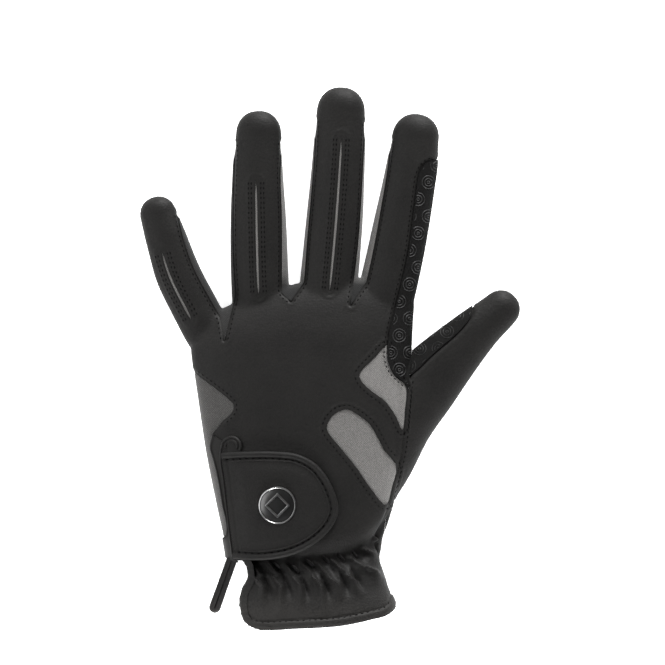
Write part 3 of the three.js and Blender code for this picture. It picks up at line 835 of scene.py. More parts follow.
class Plan:
    """All outlines and seam lines of the glove on the plan."""

    def __init__(self) -> None:
        """Work the outlines out from the tables."""
        self.upper_window = catmull(on_hand(UPPER_WINDOW), 0.8, closed=True)
        self.lower_window = catmull(on_hand(LOWER_WINDOW), 0.8, closed=True)
        turn = math.radians(SIZES.loop_turn)
        self.loop_ahead = np.array([-math.sin(turn), -math.cos(turn)])
        self.loop_side = np.array([-self.loop_ahead[1], self.loop_ahead[0]])
        self.loop_start = on_hand([(-0.94, 0.052)])[0]
        side_edge = catmull(on_hand(SIDE_PANEL), 0.8)
        outer = catmull(on_hand(BINDING_OUTER), 0.8)
        self.opening_edge = catmull(on_hand(BINDING_INNER), 0.8)
        self.side_edge = side_edge
        self.binding_outer = outer
        self.side_panel = np.vstack([side_edge, outer, on_hand([(-1.6, 0.11), (-1.6, 0.83)])])
        width = self.loop_side * SIZES.binding_width
        ends = [self.loop_start - 2 * width, self.loop_start + width]
        self.binding = np.vstack([outer, ends, self.opening_edge[:-2][::-1]])
        index, thumb = DIGITS["index"], DIGITS["thumb"]
        patch_places = [index.points(INDEX_PATCH_FINGER), on_hand(INDEX_PATCH_HAND)]
        self.patch_edge = catmull(np.vstack(patch_places), 0.8)
        self.thumb_line = catmull(on_hand(THUMB_LINE), 0.8)
        back = on_hand([THUMB_LINE[2], THUMB_LINE[1], THUMB_LINE[0]])
        self.index_patch = np.vstack([self.patch_edge, back, index.points([(0, 1.6), (0.79, 1.6)])])
        far = thumb.points([(0.1, 2.5), (1.2, 3.5), (1.2, -3.5)])
        self.thumb = np.vstack([self.thumb_line, on_hand([(1.4, 0.1)]), far])
        self.thumb_patch_edge = catmull(thumb.points(THUMB_PATCH), 0.8)
        self.thumb_patch = np.vstack([self.thumb_patch_edge, thumb.points([(0.2, -1.9), (0.83, -1.9)])])
        widths = SIZES.opening_width * np.minimum(1, np.linspace(0.2, 3, len(self.opening_edge)))[:, None]
        self.opening = np.vstack([self.opening_edge, (self.opening_edge + widths * [1, 0])[::-1]])
        self.cuff_edge = catmull(on_hand(CUFF_EDGE), 0.8)
        corner = on_hand([(-0.61, -0.4), (-2, -0.4), (-2, 0.052), (-0.8, 0.052)])
        self.open_cuff = np.vstack([self.cuff_edge, corner])
        self.hem = catmull(np.array(HEM), 0.8)
        self.above_hem = np.vstack([self.hem, [[120, -87], [120, 200], [-120, 200], [-120, -99]]])
        start = on_hand([STRAP_START])[0]
        scale = np.array([SIZES.strap_length, SIZES.strap_width])
        edge = self.opening_edge
        heel = edge[np.abs(edge[:, 1] - start[1]) < SIZES.strap_width / 2][::-1] + [0.3, 0]
        self.strap_heel = heel
        self.strap_free = catmull(np.vstack([heel[-1], start + np.array(STRAP_EDGE) * scale, heel[0]]), 0.8)
        self.strap = np.vstack([heel, self.strap_free[1:-1]])
        self.badge = start + np.array(BADGE_PLACE) * scale
        self.facing = on_hand([FACING_PLACE])[0]

    def seams(self) -> list[Points]:
        """Give the seam lines that pull the leather in."""
        lines = [seam for web in WEBS.values() for seam in web.seams()]
        return lines + [self.patch_edge, self.thumb_line, self.thumb_patch_edge, self.side_edge]


PLAN = Plan()


def seam_height(y: Points) -> Points:
    """Give the height of the seam between back and palm at places along Y."""
    return SIZES.seam_share * SIZES.hand_height - math.tan(math.radians(SIZES.seam_slope)) * np.asarray(y)


def prism(name: str, outline: Points, low: float = -60, high: float = 90) -> bpy.types.Object:
    """Make a straight-sided solid over a closed outline.

    Args:
        name: The object's name.
        outline: The outline on the plan.
        low: Height of its underside.
        high: Height of its top.
    """
    bm = bmesh.new()
    face = bm.faces.new([bm.verts.new((x, y, low)) for x, y in outline])
    made = bmesh.ops.extrude_face_region(bm, geom=[face])["geom"]
    top = [v for v in made if isinstance(v, bmesh.types.BMVert)]
    bmesh.ops.translate(bm, vec=(0, 0, high - low), verts=top)
    bmesh.ops.triangulate(bm, faces=bm.faces)
    bmesh.ops.recalc_face_normals(bm, faces=bm.faces)
    return make_object(name, bm)


def carve(
    name: str, base: bpy.types.Object, keep: Iterable[bpy.types.Object], drop: Iterable[bpy.types.Object]
) -> bpy.types.Object:
    """Cut a copy of a closed form to a piece.

    Args:
        name: The piece's name.
        base: The form to copy.
        keep: Solids that the piece lies inside.
        drop: Solids that are cut away.

    Returns:
        The biggest part that is left.
    """
    piece = copy_of(base, name)
    for operation, cutters in (("INTERSECT", keep), ("DIFFERENCE", drop)):
        for cutter in cutters:
            modifier = piece.modifiers.new("cut", "BOOLEAN")
            modifier.operation = operation
            modifier.solver = "MANIFOLD"
            modifier.object = cutter
    return keep_biggest(settle(piece))


def keep_biggest(obj: bpy.types.Object) -> bpy.types.Object:
    """Delete all but the largest connected part of an object."""
    count = len(obj.data.vertices)
    if not count:
        return obj
    flat = np.empty(2 * len(obj.data.edges), dtype=int)
    obj.data.edges.foreach_get("vertices", flat)
    a, b = flat.reshape(-1, 2).T
    label = np.arange(count)
    while True:
        low = np.minimum(label[a], label[b])
        fresh = label.copy()
        np.minimum.at(fresh, a, low)
        np.minimum.at(fresh, b, low)
        fresh = fresh[fresh]
        if np.array_equal(fresh, label):
            break
        label = fresh
    names, sizes = np.unique(label, return_counts=True)
    biggest = names[np.argmax(sizes)]
    bm = bmesh.new()
    bm.from_mesh(obj.data)
    bm.verts.ensure_lookup_table()
    bmesh.ops.delete(bm, geom=[bm.verts[i] for i in np.flatnonzero(label != biggest)], context="VERTS")
    bm.to_mesh(obj.data)
    bm.free()
    return obj


def swept(name: str, line: Points, radius: float, sides: int = 6, closed: bool = False) -> bpy.types.Object:
    """Make a round tube along a line.

    Args:
        name: The object's name.
        line: Points (x, y, z) in millimetres.
        radius: The tube's radius.
        sides: Faces around it.
        closed: Whether the line returns to its start.
    """
    curve = bpy.data.curves.new(name, "CURVE")
    curve.dimensions = "3D"
    curve.bevel_depth = radius * MM
    curve.bevel_resolution = max(0, sides // 2 - 2)
    curve.use_fill_caps = True
    spline = curve.splines.new("POLY")
    spline.points.add(len(line) - 1)
    spline.points.foreach_set("co", np.column_stack([line * MM, np.ones(len(line))]).ravel())
    spline.use_cyclic_u = closed
    holder = bpy.data.objects.new(name, curve)
    bpy.context.scene.collection.objects.link(holder)
    graph = bpy.context.evaluated_depsgraph_get()
    mesh = bpy.data.meshes.new_from_object(holder.evaluated_get(graph))
    bpy.data.objects.remove(holder)
    bpy.data.curves.remove(curve)
    mesh.name = name
    made = bpy.data.objects.new(name, mesh)
    bpy.context.scene.collection.objects.link(made)
    return made


def joined(name: str, parts: Sequence[bpy.types.Object]) -> bpy.types.Object:
    """Join helper objects into one new object and remove them."""
    bm = bmesh.new()
    for part in parts:
        bm.from_mesh(part.data)
    mesh = bpy.data.meshes.new(name)
    bm.to_mesh(mesh)
    bm.free()
    discard(*parts)
    made = bpy.data.objects.new(name, mesh)
    bpy.context.scene.collection.objects.link(made)
    return made


def finish_piece(
    obj: bpy.types.Object,
    material: bpy.types.Material,
    nodes: Sequence[str] = (),
    smooth_angle: float = 40,
) -> bpy.types.Object:
    """Give a piece its shading, material and body, and hide the frame's nodes that it replaces.

    Args:
        obj: The piece.
        material: Its material.
        nodes: The frame's nodes that it replaces.
        smooth_angle: Edges sharper than this many degrees stay sharp.

    Returns:
        The same piece.
    """
    obj.data.materials.clear()
    obj.data.materials.append(material)
    obj.data.shade_smooth()
    obj.data.set_sharp_from_angle(angle=math.radians(smooth_angle))
    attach(obj, "root")
    if nodes:
        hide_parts(*nodes)
    log.info("made %s with %d faces", obj.name, len(obj.data.polygons))
    return obj


class Relief:
    """The leather's own relief: seams pulled in, turned edges, stitch rows, gathers and folds."""

    def __init__(self, body: Body) -> None:
        """Keep the body's points and normals."""
        self.points = read_points(body.skin)
        self.normals = read_normals(body.skin)
        self.top = ramp(self.normals[:, 2], -0.15, 0.25)

    def height(self) -> Points:
        """Give the leather's relief at each vertex in millimetres."""
        p, top = self.points, self.top
        height = np.zeros(len(p))
        for seam in PLAN.seams():
            d = distance_to(p, seam)
            height += -0.5 * bell(d, 0.75) + 0.1 * bell(d - 1.9, 0.8) * top
        for window in (PLAN.upper_window, PLAN.lower_window):
            d = distance_to(p, window, closed=True)
            band = 0.32 * ramp(-d, -3.4, -2.8) - 0.22 * bell(d - 2.0, 0.45) - 0.35 * bell(d, 0.5)
            height += band * top
        for slit in SLITS.values():
            d = distance_to(p, slit.middle())
            band = 0.22 * ramp(-d, -4.2, -3.6) - 0.2 * bell(d - 2.1, 0.45) - 0.3 * bell(d - 0.5, 0.5)
            height += band * top
        side = 1 - ramp(np.abs(self.normals[:, 2]), 0.75, 0.95)
        height += -0.5 * bell(p[:, 2] - seam_height(p[:, 1]), 0.8) * side
        return height + self.drawn() + self.pleats() + self.hem()

    def hem(self) -> Points:
        """Give the folded hem's band."""
        d = distance_to(self.points, PLAN.hem, reach=10)
        return 0.45 * ramp(-d, -4.0, -3.2) - 0.35 * bell(d - 3.7, 0.5) - 0.7 * bell(d, 0.7)

    def gather_line(self) -> Points:
        """Give the place along Y where the wrist is drawn in, at each vertex."""
        return -72.5 + 0.012 * np.maximum(self.points[:, 0] - 8, 0) ** 2 * self.top

    def drawn(self) -> Points:
        """Give how the wrist is drawn in along its elastic, steeply on the hand's side."""
        away = self.points[:, 1] - self.gather_line()
        width = np.where(away > 0, 7.5, 4.6)
        back = -4.2 * bell(away, width) * self.top
        return back - 0.4 * bell(away, 6) * (1 - self.top)

    def pleats(self) -> Points:
        """Give two rows of pointed pleats below the drawn line, which fade towards the hem."""
        x, y = self.points[:, 0], self.points[:, 1]
        line = self.gather_line()
        rng = random.Random(SEED)
        pleats = np.zeros(len(x))
        for row, (shift, start, pitch) in enumerate(((0, 2.2, 7.2), (3.4, -3.6, 8.2))):
            for i in range(-9, 11):
                x0 = pitch * i + shift + rng.uniform(-0.9, 0.9)
                y0 = start + rng.uniform(-1.0, 1.0)
                long = rng.uniform(9, 12) if row == 0 else rng.uniform(15, 22)
                along = (y0 + line) - y
                bent = 0.85 * np.minimum(along, 6) + (0.15 + 0.012 * x0) * np.maximum(along - 6, 0)
                across = x - (x0 + bent)
                t = np.clip(along / long, 0, 1)
                width = np.where(across < 0, 0.9 + 2.2 * t, 0.6 + 1.3 * t)
                rise = np.where(along > 0, ramp(along, 0, 2.4), 0) * (1 - ramp(t, 0.3, 1))
                high = rng.uniform(2.4, 3.2) if row == 0 else rng.uniform(1.8, 2.6)
                pleats = np.maximum(pleats, bell(across, width) * rise * high)
        return pleats * (0.2 + 0.8 * self.top) + self.grooves()

    def grooves(self) -> Points:
        """Give the narrow dark grooves at the elastic and the softer folds below them."""
        p = self.points
        depth = np.zeros(len(p))
        for tips, way, length, width, deep in (
            (GROOVE_TIPS, (0.72, -0.69), 6.5, 0.9, 2.7),
            (FOLD_TIPS, (0.34, -0.94), 13, 1.6, 1.6),
        ):
            for tip in tips:
                away = p[:, :2] - tip
                along, across = away @ way, away @ (way[1], -way[0])
                t = along / length
                shape = ramp(t, -0.12, 0.12) * (1 - ramp(t, 0.35, 1))
                wide = width * (0.55 + 0.6 * np.clip(t, 0, 1))
                depth = np.maximum(depth, deep * shape * bell(across, wide))
        return -depth * self.top


def lifted(body: Body, name: str, distance: float, relief: Optional[Points] = None) -> bpy.types.Object:
    """Copy the body's skin, moved along its normals.

    Args:
        body: The body.
        name: The copy's name.
        distance: How far out, in millimetres.
        relief: A further distance for each vertex.
    """
    made = copy_of(body.skin, name)
    away = distance + (relief if relief is not None else 0)
    points = read_points(made) + read_normals(made) * np.reshape(away, (-1, 1) if np.ndim(away) else 1)
    points[:, 2] = np.maximum(points[:, 2], max(0, -distance))
    write_points(made, points)
    return made


class Shader:
    """Builds one material from a few kinds of nodes, in object coordinates."""

    def __init__(self, name: str) -> None:
        """Start a material with a principled shader."""
        self.material = bpy.data.materials.new(name)
        self.material.use_nodes = True
        self.tree = self.material.node_tree
        self.surface = self.tree.nodes["Principled BSDF"]
        self.place = self.tree.nodes.new("ShaderNodeTexCoord").outputs["Object"]

    def link(self, start: Socket, end: Socket) -> None:
        """Connect two sockets."""
        self.tree.links.new(start, end)

    def stretched(self, scale: tuple[float, float, float], turn: float = 0) -> Socket:
        """Give coordinates that are scaled and turned about Z."""
        node = self.tree.nodes.new("ShaderNodeMapping")
        node.inputs["Scale"].default_value = scale
        node.inputs["Rotation"].default_value = (0, 0, math.radians(turn))
        self.link(self.place, node.inputs["Vector"])
        return node.outputs["Vector"]

    def noise(self, scale: float, detail: float = 3, place: Optional[Socket] = None) -> Socket:
        """Give noise with features of about 1 / scale metres."""
        node = self.tree.nodes.new("ShaderNodeTexNoise")
        node.inputs["Scale"].default_value = scale
        node.inputs["Detail"].default_value = detail
        self.link(place or self.place, node.inputs["Vector"])
        return node.outputs["Fac"]

    def cells(self, scale: float, feature: str = "F1", place: Optional[Socket] = None) -> Socket:
        """Give the distance inside cells of about 1 / scale metres."""
        node = self.tree.nodes.new("ShaderNodeTexVoronoi")
        node.feature = feature
        node.inputs["Scale"].default_value = scale
        self.link(place or self.place, node.inputs["Vector"])
        return node.outputs["Distance"]

    def bands(self, scale: float, place: Socket) -> Socket:
        """Give soft bands across X."""
        node = self.tree.nodes.new("ShaderNodeTexWave")
        node.inputs["Scale"].default_value = scale
        node.inputs["Distortion"].default_value = 0.6
        self.link(place, node.inputs["Vector"])
        return node.outputs["Fac"]

    def math(self, operation: str, a: Socket, b: Socket | float) -> Socket:
        """Combine two values."""
        node = self.tree.nodes.new("ShaderNodeMath")
        node.operation = operation
        self.link(a, node.inputs[0])
        if isinstance(b, (int, float)):
            node.inputs[1].default_value = b
        else:
            self.link(b, node.inputs[1])
        return node.outputs["Value"]

    def rise_along_y(self, low: float, high: float) -> Socket:
        """Give 0 at one place along Y, changing to 1 at another, both in millimetres."""
        parts = self.tree.nodes.new("ShaderNodeSeparateXYZ")
        self.link(self.place, parts.inputs["Vector"])
        node = self.tree.nodes.new("ShaderNodeMapRange")
        node.inputs["From Min"].default_value = low * MM
        node.inputs["From Max"].default_value = high * MM
        self.link(parts.outputs["Y"], node.inputs["Value"])
        return node.outputs["Result"]

    def ramp(self, value: Socket, stops: Sequence[tuple[float, Sequence[float]]]) -> Socket:
        """Turn a value into a colour."""
        node = self.tree.nodes.new("ShaderNodeValToRGB")
        elements = node.color_ramp.elements
        while len(elements) < len(stops):
            elements.new(0.5)
        for element, (place, colour) in zip(elements, stops):
            element.position = place
            element.color = (*colour, 1)
        self.link(value, node.inputs["Fac"])
        return node.outputs["Color"]

    def bump(self, height: Socket, distance: float, strength: float = 1) -> None:
        """Add fine relief of a distance in metres to the surface."""
        node = self.tree.nodes.new("ShaderNodeBump")
        node.inputs["Distance"].default_value = distance
        node.inputs["Strength"].default_value = strength
        self.link(height, node.inputs["Height"])
        if self.surface.inputs["Normal"].is_linked:
            self.link(self.surface.inputs["Normal"].links[0].from_socket, node.inputs["Normal"])
        self.link(node.outputs["Normal"], self.surface.inputs["Normal"])

    def set(self, values: dict[str, float]) -> None:
        """Set plain values on the shader's own sockets, by their names."""
        for name, value in values.items():
            self.surface.inputs[name].default_value = value


def grey(value: float, warmth: float = 0) -> tuple[float, float, float]:
    """Give a linear grey of an sRGB value from 0 to 255, a little warm if asked."""
    share = value / 255
    linear = share / 12.92 if share <= 0.04045 else ((share + 0.055) / 1.055) ** 2.4
    return (linear * (1 + warmth), linear, linear * (1 - warmth))


@dataclass(frozen=True)
class Leather:
    """Grained synthetic leather, a little worn, with painted light on the cuff: its colour turns lighter
    there, as if the cuff faced the light.
    """

    name: str
    tone: float = 17
    spread: float = 3
    roughness: float = 0.56
    grain: float = 1500
    relief: float = 0.00011
    shine: float = 0.06

    def build(self) -> bpy.types.Material:
        """Make the material."""
        shader = Shader(self.name)
        pebbles = shader.cells(self.grain, "SMOOTH_F1")
        wrinkles = shader.noise(1, 4, shader.stretched((260, 900, 500)))
        broad = shader.noise(55, 2)
        mix = shader.math("MULTIPLY", pebbles, 0.55)
        mix = shader.math("ADD", mix, shader.math("MULTIPLY", broad, 0.5))
        # Painted light: towards the hem the colour is pushed to its light end, as if the cuff were turned
        # towards the lamps.
        cuff = shader.rise_along_y(-80, -93)
        mix = shader.math("SUBTRACT", mix, shader.math("MULTIPLY", cuff, 0.42))
        # The lightest stop serves both random wear spots and the painted light on the cuff.
        worn_and_lit_tone = grey(self.tone + 12, 0.05)
        low, high = grey(self.tone - self.spread, 0.02), grey(self.tone + self.spread, 0.04)
        colour = shader.ramp(mix, [(0, worn_and_lit_tone), (0.3, high), (0.75, low)])
        shader.link(colour, shader.surface.inputs["Base Color"])
        rough = shader.math("ADD", shader.math("MULTIPLY", shader.noise(700, 2), 0.16), self.roughness - 0.08)
        shader.link(rough, shader.surface.inputs["Roughness"])
        shader.bump(pebbles, self.relief)
        shader.bump(wrinkles, self.relief * 1.6, 0.6)
        shader.set({"Specular IOR Level": self.shine})
        return shader.material


@dataclass(frozen=True)
class Knit:
    """Stretch fabric with a fine knitted mesh."""

    name: str
    light: float = 89
    dark: float = 60
    roughness: float = 0.92
    shadow_end: Optional[float] = None

    def build(self) -> bpy.types.Material:
        """Make the material, black below the place along Y where its shadow ends."""
        shader = Shader(self.name)
        first = shader.bands(430, shader.stretched((1, 1, 1), 45))
        second = shader.bands(430, shader.stretched((1, 1, 1), -45))
        weave = shader.math("MULTIPLY", first, second)
        speckle = shader.noise(1900, 2)
        mix = shader.math("ADD", shader.math("MULTIPLY", weave, 0.3), shader.math("MULTIPLY", speckle, 0.75))
        dark, light = grey(self.dark, 0.03), grey(self.light, 0.03)
        stops = [(0.3, dark), (0.72, light)]
        colour = mix
        if self.shadow_end is not None:
            colour = shader.math("MULTIPLY", mix, shader.rise_along_y(self.shadow_end - 7, self.shadow_end))
            stops = [(0, grey(12)), *stops]
        shader.link(shader.ramp(colour, stops), shader.surface.inputs["Base Color"])
        shader.bump(mix, 0.00018)
        shader.set({"Roughness": self.roughness, "Sheen Weight": 0.1, "Specular IOR Level": 0.12})
        return shader.material


@dataclass(frozen=True)
class Suede:
    """Soft grip material with a very fine nap."""

    name: str
    tone: float = 16
    roughness: float = 0.75

    def build(self) -> bpy.types.Material:
        """Make the material."""
        shader = Shader(self.name)
        nap = shader.noise(2600, 4)
        shader.link(
            shader.ramp(nap, [(0.3, grey(self.tone - 6, 0.02)), (0.7, grey(self.tone + 5, 0.02))]),
            shader.surface.inputs["Base Color"],
        )
        shader.bump(nap, 0.00012)
        shader.bump(shader.cells(900), 0.00008, 0.6)
        shader.set({"Roughness": self.roughness, "Specular IOR Level": 0.045})
        return shader.material


@dataclass(frozen=True)
class Smooth:
    """A plain moulded, printed or metal surface with slight wear."""

    name: str
    tone: float
    roughness: float
    metallic: float = 0.0
    shine: float = 0.5
    glow: float = 0.0

    def build(self) -> bpy.types.Material:
        """Make the material."""
        shader = Shader(self.name)
        wear = shader.noise(400, 4)
        colour = shader.ramp(wear, [(0.3, grey(self.tone * 0.92)), (0.7, grey(self.tone))])
        shader.link(colour, shader.surface.inputs["Base Color"])
        rough = shader.math("ADD", shader.math("MULTIPLY", wear, 0.12), self.roughness - 0.06)
        shader.link(rough, shader.surface.inputs["Roughness"])
        shader.set(
            {"Metallic": self.metallic, "Specular IOR Level": self.shine, "Emission Strength": self.glow}
        )
        shader.surface.inputs["Emission Color"].default_value = (1, 1, 1, 1)
        return shader.material


class Finish(Enum):
    """The finishes of the glove."""

    BACK = Leather("back leather")
    PALM = Leather("palm leather", tone=16, roughness=0.66, grain=2100)
    STRAP = Leather("strap leather", tone=17, roughness=0.58, grain=1700)
    EDGE = Leather("rolled edge leather", tone=18, roughness=0.5, grain=2200, relief=0.00004)
    WINDOW = Knit("window fabric")
    WINDOW_UPPER = Knit("upper window fabric", 96, 66)
    SIDE = Knit("side fabric", 59, 35)
    WALL = Knit("side wall fabric", 86, 56, shadow_end=58)
    WALL_BLACK = Knit("black side wall fabric", 20, 9)
    SLIT = Knit("slit fabric", 92, 66)
    GRIP = Suede("grip suede", 9)
    PRINT = Smooth("grip print", 25, 0.5, shine=0.09)
    THREAD = Smooth("thread", 3, 0.8, shine=0.02)
    RIM = Smooth("badge rim metal", 120, 0.3, metallic=1)
    FACE = Smooth("badge face", 6, 0.3)
    FLOOR = Smooth("floor", 254, 0.95, shine=0.1, glow=0.8)


MATERIALS = {finish: finish.value.build() for finish in Finish}


class Stitcher:
    """Lays rows of small sunk stitches on the leather."""

    pitch = 2.2

    def __init__(self, tree: BVHTree, length: float = 1.3, radius: float = 0.32) -> None:
        """Keep the skin that the stitches lie on.

        Args:
            tree: The skin.
            length: Length of one stitch in millimetres.
            radius: Its radius.
        """
        self.tree = tree
        self.length = length
        self.radius = radius
        self.mesh = bmesh.new()

    def row(self, line: Points, from_above: bool = True, pitch: Optional[float] = None) -> None:
        """Lay stitches along a line on the plan.

        Args:
            line: The line's points.
            from_above: Whether the row is on the back or on the palm.
            pitch: Distance from one stitch to the next.
        """
        spots = even(line, pitch or self.pitch)
        hits = drop_on(self.tree, spots, from_above)
        for (start, normal), (end, _) in zip(hits, hits[1:]):
            way = end - start
            if way.length > 2 * (pitch or self.pitch) or abs(normal.z) < 0.12:
                continue
            self.stitch((start + end) / 2 - normal * 0.04, way.normalized(), normal)

    def stitch(self, middle: Vector, way: Vector, normal: Vector) -> None:
        """Add one stitch, a short rounded bar."""
        side = normal.cross(way).normalized()
        turn = Matrix((way, side, way.cross(side))).transposed().to_4x4()
        size = Matrix.Diagonal((self.length / 2, self.radius, self.radius * 0.8, 1))
        bmesh.ops.create_icosphere(
            self.mesh, subdivisions=1, radius=1, matrix=Matrix.Translation(middle) @ turn @ size
        )

    def finish(self, name: str) -> bpy.types.Object:
        """Write the stitches to an object and put it on the glove."""
        made = make_object(name, self.mesh)
        return finish_piece(made, MATERIALS[Finish.THREAD], smooth_angle=80)


class Shell:
    """The leather and fabric panels of the hand, fingers and cuff."""

    def __init__(self, body: Body) -> None:
        """Make the skins that the panels are cut from."""
        self.body = body
        relief = Relief(body)
        self.outer = lifted(body, "outer", 0, relief.height())
        self.fabric = lifted(body, "fabric", -0.42)
        self.wall = lifted(body, "wall", -0.12)
        self.grip = lifted(body, "grip", 0.22)
        self.bound = lifted(body, "bound", SIZES.binding_proud)
        self.inner = lifted(body, "inner", -SIZES.leather, relief.drawn() - 0.3)
        remesh(self.inner, 1.7)
        self.tree = tree_of(self.outer)
        half = SIZES.seam_gap / 2
        self.cutters = {
            "upper": prism("upper", widen(PLAN.upper_window, half)),
            "lower": prism("lower", widen(PLAN.lower_window, half)),
            "side": prism("side", widen(PLAN.side_panel, half)),
            "binding": prism("binding", widen(PLAN.binding, half)),
            "index_patch": prism("index_patch", widen(PLAN.index_patch, half)),
            "thumb": prism("thumb_plan", widen(PLAN.thumb, half)),
            "thumb_patch": prism("thumb_patch", widen(PLAN.thumb_patch, half)),
            "opening": prism("opening", PLAN.opening),
            "open_cuff": prism("open_cuff", PLAN.open_cuff),
            "cuff_band": prism("cuff_band", widen(PLAN.open_cuff, SIZES.binding_width)),
            "cuff_clear": prism("cuff_clear", widen(PLAN.open_cuff, SIZES.binding_width - SIZES.seam_gap)),
            "hem": prism("hem", PLAN.above_hem),
            "back": self.half_space(half),
            "palm": self.half_space(-half),
        }
        for name, web in WEBS.items():
            self.cutters[name] = prism(name, widen(web.outline(), half))
        for name, slit in SLITS.items():
            self.cutters["slit_" + name] = prism("slit_" + name, slit.outline(SIZES.slit_width))

    @staticmethod
    def half_space(raise_by: float) -> bpy.types.Object:
        """Make the block above the seam between back and palm."""
        bm = bmesh.new()
        bmesh.ops.create_cube(bm, size=600)
        bmesh.ops.translate(bm, vec=(0, 0, 300), verts=bm.verts)
        turn = Matrix.Rotation(math.radians(-SIZES.seam_slope), 4, "X")
        bmesh.ops.transform(bm, matrix=turn, verts=bm.verts)
        bmesh.ops.translate(bm, vec=(0, 0, SIZES.seam_share * SIZES.hand_height + raise_by), verts=bm.verts)
        return make_object("above", bm)

    def pick(self, *names: str) -> list[bpy.types.Object]:
        """Give some of the cutting solids."""
        return [self.cutters[name] for name in names]

    def inside(self, name: str, outline: Points) -> bpy.types.Object:
        """Make a prism a little inside an outline."""
        return prism(name, widen(outline, -SIZES.seam_gap / 2))

    def build(self) -> None:
        """Cut and finish every panel."""
        webs = list(WEBS)
        back = carve(
            "back_leather",
            self.outer,
            self.pick("back", "hem"),
            [self.inner]
            + self.pick("upper", "lower", "side", "binding", "index_patch", "thumb")
            + self.pick("opening", "open_cuff", "cuff_clear")
            + self.pick(*webs, *["slit_" + name for name in SLITS]),
        )
        finish_piece(back, MATERIALS[Finish.BACK], ["back_panel"])
        palm = carve(
            "palm_leather",
            self.outer,
            self.pick("hem"),
            [self.inner] + self.pick("palm", "thumb", "open_cuff", *webs),
        )
        finish_piece(palm, MATERIALS[Finish.PALM], ["palm_panel"])
        thumb = carve(
            "thumb_leather",
            self.outer,
            [self.inside("thumb_in", PLAN.thumb)],
            [self.inner] + self.pick("thumb_patch", "index_patch"),
        )
        finish_piece(thumb, MATERIALS[Finish.BACK], ["thumb"])
        for name, web in WEBS.items():
            plan = prism(name + "_in", widen(web.outline(), SIZES.seam_gap))
            wall = carve("side_wall_" + name, self.wall, [plan], [self.inner])
            finish = Finish.WALL_BLACK if name == "little_ring" else Finish.WALL
            finish_piece(wall, MATERIALS[finish], ["fourchette_" + name])
        self.windows()
        self.patches()
        self.insets()

    def windows(self) -> None:
        """Cut the stretch fabric pieces."""
        right = self.pick("index_patch", "thumb")
        for name, outline, finish, flat, share in (
            ("upper", PLAN.upper_window, Finish.WINDOW_UPPER, (0.026, 0.038), 0.5),
            ("lower", PLAN.lower_window, Finish.WINDOW, (0.026, 0.052), 0.58),
        ):
            window = carve(
                f"window_{name}_fabric",
                self.fabric,
                self.pick("back") + [self.inside(name + "_in", outline)],
                [self.inner] + right,
            )
            finish_piece(window, MATERIALS[finish], ["stretch_window_" + name])
        side = carve(
            "side_panel_fabric",
            self.fabric,
            self.pick("back") + [self.inside("side_in", PLAN.side_panel)],
            [self.inner] + self.pick("binding"),
        )
        finish_piece(side, MATERIALS[Finish.SIDE], ["stretch_panel_side"])

    def patches(self) -> None:
        """Cut the grip patches of the index finger and the thumb."""
        index = carve(
            "index_grip",
            self.grip,
            self.pick("back") + [self.inside("patch_in", PLAN.index_patch)],
            [self.inner],
        )
        finish_piece(index, MATERIALS[Finish.GRIP], ["index_grip_patch"])
        thumb = carve(
            "thumb_grip",
            self.grip,
            [self.inside("thumb_in2", PLAN.thumb), self.inside("thumb_patch_in", PLAN.thumb_patch)],
            [self.inner] + self.pick("index_patch"),
        )
        finish_piece(thumb, MATERIALS[Finish.GRIP], ["thumb_grip_patch"])

    def insets(self) -> None:
        """Lay a strip of fabric below each slit."""
        top = lifted(self.body, "inset_top", -SIZES.leather - 0.4)
        low = lifted(self.body, "inset_low", -SIZES.leather - 1.0)
        ridge = lifted(self.body, "inset_ridge", -0.3)
        for name, slit in SLITS.items():
            under = prism("strip", slit.outline(SIZES.inset_width))
            showing = prism("line", slit.outline(SIZES.slit_width - SIZES.slit_hem))
            wide = carve("wide", top, [under] + self.pick("back"), [low])
            proud = carve("proud", ridge, [showing] + self.pick("back"), [low])
            strip = joined("slit_fabric_" + name, [wide, proud])
            finish_piece(strip, MATERIALS[Finish.SLIT], ["slit_inset_" + name])
        discard(top, low, ridge)


